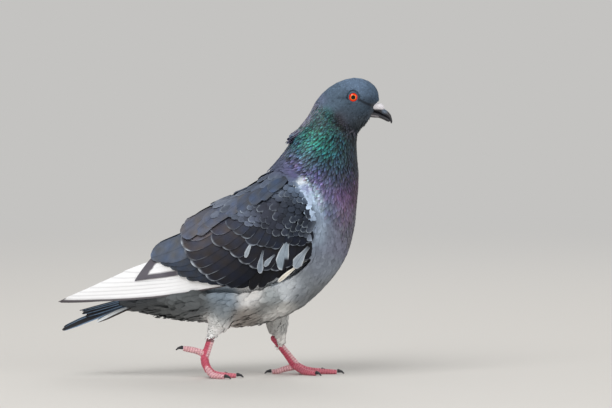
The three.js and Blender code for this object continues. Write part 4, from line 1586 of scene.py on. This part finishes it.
def tail_tone(top, s, c, k, width):
    """Dark slate quills with a painted bluish highlight along their edges. The outermost has a white outer
    web before its dark tip.
    """
    base = mix(np.broadcast_to(srgb(70, 80, 94), top.shape), srgb(22, 23, 29), smooth((s - 0.4) / 0.25))
    # painted highlight: pale blue along both edges of each quill
    base = mix(base, srgb(128, 156, 186), 0.7 * smooth((np.abs(c) - 0.6) / 0.25))
    outermost = k == int(k.max())
    white = np.where(outermost, smooth((c + 0.5) / 0.2) * smooth((0.62 - c) / 0.1), 0)
    brown = np.where(outermost, smooth((c - 0.62) / 0.1), 0)
    return mix(mix(base, srgb(222, 226, 228), white), srgb(70, 60, 54), brown)


class PIGEON_OT_tail(bpy.types.Operator):
    """Twelve tail quills, closed like a roof"""

    bl_idname = "pigeon.tail"
    bl_label = "Tail"

    def execute(self, context):
        rng = dice("tail")
        material = plumage_material("tail_quills", 0.55, gap=1.2, shade=0.16, shaft=0.3)
        halves, count = Coat(), len(TAIL_TIPS)
        roots = np.stack([np.full(count, -58.0), np.linspace(-1.0, -7.5, count)], 1)
        tract(
            Roof(), halves, roots, TAIL_TIPS, np.linspace(6, 5.4, count), rng, base=-0.6, crest=0.0,
            step=0.45, tone=tail_tone, shape="narrow_quill", tilt=-0.05, camber=0.03, thick=0.2, ragged=0.3,
            rows=FINE_ROWS, columns=FINE_COLUMNS,
        )
        for side in SIDES:
            obj = halves.build(f"tail_quills_{side}", material, mirrored=side == "left")
            settle(obj, "tail_plumage", *(["tail"] if side == "right" else []))
        return {"FINISHED"}


# ---------------------------------------------------------------- legs and feet

TOES = ("1", "2", "3", "4")
HEEL = 3.5 * MM  # how far down the heel's rounding reaches
SCUTE = 2.1  # millimetres from one ring of scales to the next


def long_axis(node):
    """A solid's points, their middle, and the direction in which they reach furthest."""
    co = places_of(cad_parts[node].data)
    middle = co.mean(0)
    return co, middle, np.linalg.svd(co - middle, full_matrices=False)[2][0]


def rounded_end(points, side):
    """Draws the upper end of the tarsus in to a dome, as the heel's joint is."""
    co, middle, axis = long_axis(f"tarsus_{side}")
    axis = axis * np.sign(axis[2])
    along = (points - middle) @ axis
    end = ((co - middle) @ axis).max()
    drawn = np.clip((along - end) / HEEL + 1, 0, 1)
    out = points - middle - along[:, None] * axis
    return points - out * (1 - np.sqrt(1 - 0.9 * drawn**2))[:, None]


def scute_relief(points, nodes):
    """Rings of scales across the tarsus and each toe: how high and how pale they are, from 0 to 1."""
    trees = [tree_of(node) for node in nodes]
    axes = [long_axis(node)[1:] for node in nodes]
    relief, pale = np.empty((2, len(points)))
    for n, p in enumerate(points):
        digit = int(np.argmin([tree.find_nearest(p)[3] for tree in trees]))
        middle, axis = axes[digit]
        turn = ((p - middle) @ axis) / (SCUTE * MM)
        relief[n] = 1 - abs(2 * (turn % 1) - 1) ** 4
        pale[n] = math.sin(37.7 * math.floor(turn) + 11.3 * digit + 5.1 * (p[1] > middle[1])) ** 2
        if digit == 0:
            front = (p - middle) - ((p - middle) @ axis) * axis
            pale[n] = max(pale[n], min(max(front[0] / MM, 0), 1))
    return relief, pale


def add_leg(side, material):
    """A tarsus and its toes as one skin, with pale plates and painted shade in the creases. The right one has
    a dark band.
    """
    colours = bpy.context.scene.pigeon_colours
    nodes = [f"tarsus_{side}", *(f"toe_{side}_{d}" for d in TOES)]
    leg = merged_copy(f"leg_{side}", *nodes)
    voxelled(leg, 0.42, 5)
    without_crumbs(leg)
    points = rounded_end(places_of(leg.data), side)
    reshape(leg, points)
    relief, pale = scute_relief(points, nodes)
    weigh(leg, "scutes", relief, 10)
    finish(leg, "DISPLACE", direction="NORMAL", strength=0.3 * MM, mid_level=0.5, vertex_group="scutes")
    finish(leg, "SMOOTH", factor=0.5, iterations=1)
    plates = mix(np.broadcast_to(colours.foot, points.shape), srgb(244, 212, 214), 0.85 * pale**1.6)
    # painted shade: the grooves between the rings of scales take the crease colour
    tone = mix(np.broadcast_to(colours.foot_crease_shade, points.shape), plates, smooth(relief * 1.3))
    if side == "right":
        height = points[:, 2] / MM
        band = 0.85 * smooth((height - 29.3) / 0.6) * smooth((33 - height) / 0.6)
        tone = mix(tone, srgb(70, 66, 70), band)
    paint(leg.data, tone)
    dress(leg, material, "foot_skin", *nodes)


def add_claw(side, digit, material):
    node = f"claw_{side}_{digit}"
    claw = merged_copy(f"nail_{side}_{digit}", node)
    voxelled(claw, 0.22, 4)
    dress(claw, material, "claw_horn", node)


class PIGEON_OT_feet(bpy.types.Operator):
    """Scaly legs and toes, and their claws"""

    bl_idname = "pigeon.feet"
    bl_label = "Feet"

    def execute(self, context):
        horn = context.scene.pigeon_colours.horn
        # painted shade: the creases of the foot skin and of the claws take these darker colours
        skin = grained_material(
            "foot_skin", srgb(168, 64, 86), roughness=0.5, cell=1.0, crease=0.08, relief=0.1,
            Subsurface_Weight=0.08,
        )
        claw_horn = grained_material(
            "claw_horn", srgb(14, 14, 16), roughness=0.38, cell=0.8, crease=0.04, relief=0.03, colour=horn
        )
        for side in SIDES:
            add_leg(side, skin)
            for digit in TOES:
                add_claw(side, digit, claw_horn)
        return {"FINISHED"}


# ---------------------------------------------------------------- bill, cere and eyes


def drawn_back(obj, front, reach):
    """Stretches what lies behind `front` back into the head, by `reach` at its far end."""
    points = places_of(obj.data)
    behind = np.maximum(front - points[:, 0], 0)
    points[:, 0] -= reach * behind / behind.max()
    reshape(obj, points)


def bill_tone(points, horn):
    """Dark horn with a painted bluish highlight along the ridge, and a pale cutting edge by the gape."""
    p = points / MM
    edge = near_line(points, table((121, 214.2), (124, 213.8), (126.5, 213.3)), 1.1)
    # painted highlight: a bluish glint of sky along the ridge ahead of the cere
    ridge = smooth((p[:, 0] - 129) / 2) * smooth((135.5 - p[:, 0]) / 3) * smooth((p[:, 2] - 214.5) / 3)
    tone = mix(np.broadcast_to(horn, points.shape), srgb(104, 122, 142), 0.6 * ridge)
    return mix(tone, srgb(186, 180, 186), 0.6 * edge)


def bill_piece(name, node, *, swell, voxel, front, reach, rounds):
    """A copy of a solid, swollen, drawn back into the head behind `front`, and smoothed. In millimetres."""
    obj = merged_copy(name, node)
    finish(obj, "DISPLACE", direction="NORMAL", strength=swell * MM, mid_level=0.0)
    finish(obj, "REMESH", mode="VOXEL", voxel_size=voxel * MM)
    drawn_back(obj, front * MM, reach * MM)
    finish(obj, "SMOOTH", factor=0.5, iterations=rounds)
    return obj


class PIGEON_OT_bill(bpy.types.Operator):
    """Both halves of the bill, and the cere over the nostrils"""

    bl_idname = "pigeon.bill"
    bl_label = "Bill"

    def execute(self, context):
        colours = context.scene.pigeon_colours
        # the colour of the painted shade in the creases of the horn
        dark = srgb(18, 18, 20)
        horn = grained_material("bill_horn", dark, roughness=0.3, cell=0.9, crease=0.03, relief=0.02)
        for half in ("upper", "lower"):
            node = f"bill_{half}"
            obj = bill_piece(f"mandible_{half}", node, swell=0.42, voxel=0.28, front=127, reach=5, rounds=4)
            paint(obj.data, bill_tone(places_of(obj.data), np.array(colours.horn)))
            dress(obj, horn, "bill_horn", node)
        cere = bill_piece("operculum", "cere", swell=0.25, voxel=0.3, front=129.5, reach=4, rounds=6)
        # the colour of the painted shade in the creases of the cere
        dark = srgb(186, 178, 186)
        powder = grained_material(
            "cere", dark, roughness=0.75, cell=0.35, crease=0.08, relief=0.05, colour=colours.cere
        )
        dress(cere, powder, "cere", "cere")
        return {"FINISHED"}


BARE_SKIN = srgb(74, 90, 106)  # round the eye
IRIS = 236.0  # turns metres from the pupil's middle into places on the eye's ramp


def eye_material(side):
    """Pupil, iris, a dark rim painted as the shade where the lid meets the eye, and the skin round it, by
    distance from the pupil's middle.
    """
    colours = bpy.context.scene.pigeon_colours
    material, tree, shader = new_material(
        f"eye_{side}", 0.4, Specular_IOR_Level=0.0, Coat_Weight=0.7, Coat_Roughness=0.03
    )
    place = add_node(tree, "ShaderNodeTexCoord").outputs["Object"]
    parts = add_node(tree, "ShaderNodeSeparateXYZ", {0: place})
    x = maths(tree, "SUBTRACT", parts.outputs[0], EYE[0] * MM)
    z = maths(tree, "SUBTRACT", parts.outputs[2], EYE[2] * MM)
    squares = maths(tree, "ADD", maths(tree, "MULTIPLY", x, x), maths(tree, "MULTIPLY", z, z))
    radius = maths(tree, "MULTIPLY", maths(tree, "SQRT", squares), IRIS)
    uneven = maths(tree, "SUBTRACT", noise(tree, place, 1500.0, 2.0), 0.5)
    ramp = add_node(tree, "ShaderNodeValToRGB", {0: maths(tree, "MULTIPLY_ADD", uneven, 0.05, radius)})
    black = (0.002, 0.002, 0.002)
    stops = ramp.color_ramp.elements
    stops[0].position, stops[0].color = 0.0, (*black, 1)
    stops[1].position, stops[1].color = 1.0, (*BARE_SKIN, 1)
    for spot, colour in (
        (0.41, black),
        (0.45, colours.iris_inner),
        (0.56, colours.iris),
        (0.78, colours.iris),
        # painted shade: the iris darkens at its edge, then a near black rim lies where the lid meets the eye
        (0.84, srgb(120, 18, 8)),
        (0.87, srgb(20, 10, 10)),
        (0.91, srgb(44, 52, 60)),
    ):
        stops.new(spot).color = (*colour, 1)
    tree.links.new(ramp.outputs[0], shader.inputs["Base Color"])
    return material


def eye_part(name, add, out, **sizes):
    """A ball or ring that faces sideways from the eye's middle, `out` millimetres from the midline."""
    bpy.ops.object.select_all(action="DESELECT")
    add(location=(EYE[0] * MM, out * MM, EYE[2] * MM), rotation=(math.radians(90), 0, 0), **sizes)
    obj = bpy.context.active_object
    obj.name = name
    bpy.ops.object.transform_apply(location=True, rotation=True, scale=True)
    return obj


class PIGEON_OT_eyes(bpy.types.Operator):
    """Eyeballs with their corneas, and the rings of bare lid round them"""

    bl_idname = "pigeon.eyes"
    bl_label = "Eyes"

    def execute(self, context):
        # painted shade in the creases of the lid takes the darker colour
        lid = grained_material(
            "eyelid", srgb(54, 66, 78), roughness=0.7, cell=0.5, crease=0.15, relief=0.05, colour=BARE_SKIN
        )
        sphere, torus = bpy.ops.mesh.primitive_uv_sphere_add, bpy.ops.mesh.primitive_torus_add
        globe = dict(segments=48, ring_count=32, radius=6 * MM)
        rings = dict(major_segments=64, minor_segments=16, major_radius=3.9 * MM, minor_radius=0.42 * MM)
        for side, sign in SIDES.items():
            ball = eye_part(f"eyeball_{side}", sphere, sign * 7.3, **globe)
            dress(ball, eye_material(side), "eye", f"eye_{side}")
            ring = eye_part(f"eyelid_{side}", torus, sign * 12.3, **rings)
            dress(ring, lid, "head_plumage")
        return {"FINISHED"}


# ---------------------------------------------------------------- stage


def add_floor(colours):
    """A floor that a camera ray sees in the backdrop's colour from 0.5 to 2.4 m away on."""
    bpy.ops.object.select_all(action="DESELECT")
    bpy.ops.mesh.primitive_plane_add(size=120, location=(0, 0, 0))
    floor = bpy.context.active_object
    floor.name = "floor"
    material, tree, shader = new_material("floor", 0.9)
    shader.inputs["Base Color"].default_value = (*colours.floor, 1)
    place = add_node(tree, "ShaderNodeTexCoord").outputs["Object"]
    reach = add_node(tree, "ShaderNodeVectorMath", {0: place}, operation="LENGTH").outputs["Value"]
    plain = add_node(tree, "ShaderNodeEmission", {"Color": (*colours.backdrop, 1), "Strength": 1.0})
    limits = {"Value": reach, "From Min": 0.5, "From Max": 2.4}
    far = add_node(tree, "ShaderNodeMapRange", limits, interpolation_type="SMOOTHSTEP").outputs[0]
    seen = maths(tree, "MULTIPLY", far, add_node(tree, "ShaderNodeLightPath").outputs["Is Camera Ray"])
    joined = add_node(tree, "ShaderNodeMixShader", {0: seen, 1: shader.outputs[0], 2: plain.outputs[0]})
    tree.links.new(joined.outputs[0], tree.nodes["Material Output"].inputs[0])
    floor.data.materials.append(material)


def add_sky(colours, strength):
    """Even white light, which the camera and reflections see as the backdrop's colour."""
    world = bpy.data.worlds.new("sky")
    bpy.context.scene.world = world
    world.use_nodes = True
    tree = world.node_tree
    light = tree.nodes["Background"]
    light.inputs["Color"].default_value = (1, 1, 1, 1)
    light.inputs["Strength"].default_value = strength
    plain = add_node(tree, "ShaderNodeBackground", {"Color": (*colours.backdrop, 1), "Strength": 1.0})
    rays = add_node(tree, "ShaderNodeLightPath").outputs
    mirrored = maths(tree, "ADD", rays["Is Glossy Ray"], rays["Is Transmission Ray"])
    seen = maths(tree, "ADD", rays["Is Camera Ray"], mirrored, clamp=True)
    mixed = add_node(tree, "ShaderNodeMixShader", {0: seen, 1: light.outputs[0], 2: plain.outputs[0]})
    tree.links.new(mixed.outputs[0], tree.nodes["World Output"].inputs[0])


def add_lamp(name, place, size, power, aim):
    bpy.ops.object.light_add(type="AREA", location=place)
    lamp = bpy.context.active_object
    lamp.name = name
    lamp.data.size = size
    lamp.data.energy = power
    lamp.rotation_euler = (Vector(place) - aim).to_track_quat("Z", "Y").to_euler()


def add_camera(stage, aim):
    back = Vector((0, -math.cos(stage.elevation), math.sin(stage.elevation))) * stage.distance
    bpy.ops.object.camera_add(location=aim + back)
    camera = bpy.context.active_object
    camera.rotation_euler = back.to_track_quat("Z", "Y").to_euler()
    camera.data.lens = stage.lens
    camera.data.sensor_width = 36.0
    camera.data.clip_end = 200
    bpy.context.scene.camera = camera


class PIGEON_OT_stage(bpy.types.Operator):
    """Floor, lamps, even sky and the camera"""

    bl_idname = "pigeon.stage"
    bl_label = "Stage"

    def execute(self, context):
        colours, stage = context.scene.pigeon_colours, context.scene.pigeon_stage
        context.scene.view_settings.view_transform = "Standard"
        add_floor(colours)
        add_sky(colours, stage.sky)
        aim = Vector(stage.aim)
        add_lamp("key", (-0.9, -1.7, 2.3), 1.8, stage.key, aim)
        add_lamp("fill", (1.9, -1.6, 0.9), 1.6, stage.fill, aim)
        add_lamp("rim", (0.4, 1.9, 1.7), 1.4, stage.fill, aim)
        add_camera(stage, aim)
        return {"FINISHED"}


# ---------------------------------------------------------------- panel and start

OPERATORS = (
    PIGEON_OT_skin,
    PIGEON_OT_head_coat,
    PIGEON_OT_neck_coat,
    PIGEON_OT_body_coat,
    PIGEON_OT_wings,
    PIGEON_OT_tail,
    PIGEON_OT_feet,
    PIGEON_OT_bill,
    PIGEON_OT_eyes,
    PIGEON_OT_stage,
)


class PIGEON_PT_panel(bpy.types.Panel):
    """The bird's settings and the steps that build it"""

    bl_idname = "PIGEON_PT_panel"
    bl_label = "Pigeon"
    bl_space_type = "VIEW_3D"
    bl_region_type = "UI"
    bl_category = "Pigeon"

    def draw(self, context):
        scene = context.scene
        for group in (scene.pigeon_plumage, scene.pigeon_colours, scene.pigeon_stage):
            for key in group.__annotations__:
                self.layout.prop(group, key)
        for operator in OPERATORS:
            self.layout.operator(operator.bl_idname)


CLASSES = (PigeonPlumage, PigeonColours, PigeonStage, *OPERATORS, PIGEON_PT_panel)


def register():
    for cls in CLASSES:
        bpy.utils.register_class(cls)
    bpy.types.Scene.pigeon_plumage = bpy.props.PointerProperty(type=PigeonPlumage)
    bpy.types.Scene.pigeon_colours = bpy.props.PointerProperty(type=PigeonColours)
    bpy.types.Scene.pigeon_stage = bpy.props.PointerProperty(type=PigeonStage)


def unregister():
    del bpy.types.Scene.pigeon_plumage, bpy.types.Scene.pigeon_colours, bpy.types.Scene.pigeon_stage
    for cls in reversed(CLASSES):
        bpy.utils.unregister_class(cls)


def main():
    register()
    for operator in OPERATORS:
        group, name = operator.bl_idname.split(".")
        getattr(getattr(bpy.ops, group), name)()
    bpy.data.objects.remove(WORK["form_object"])


if __name__ == "__main__":
    main()
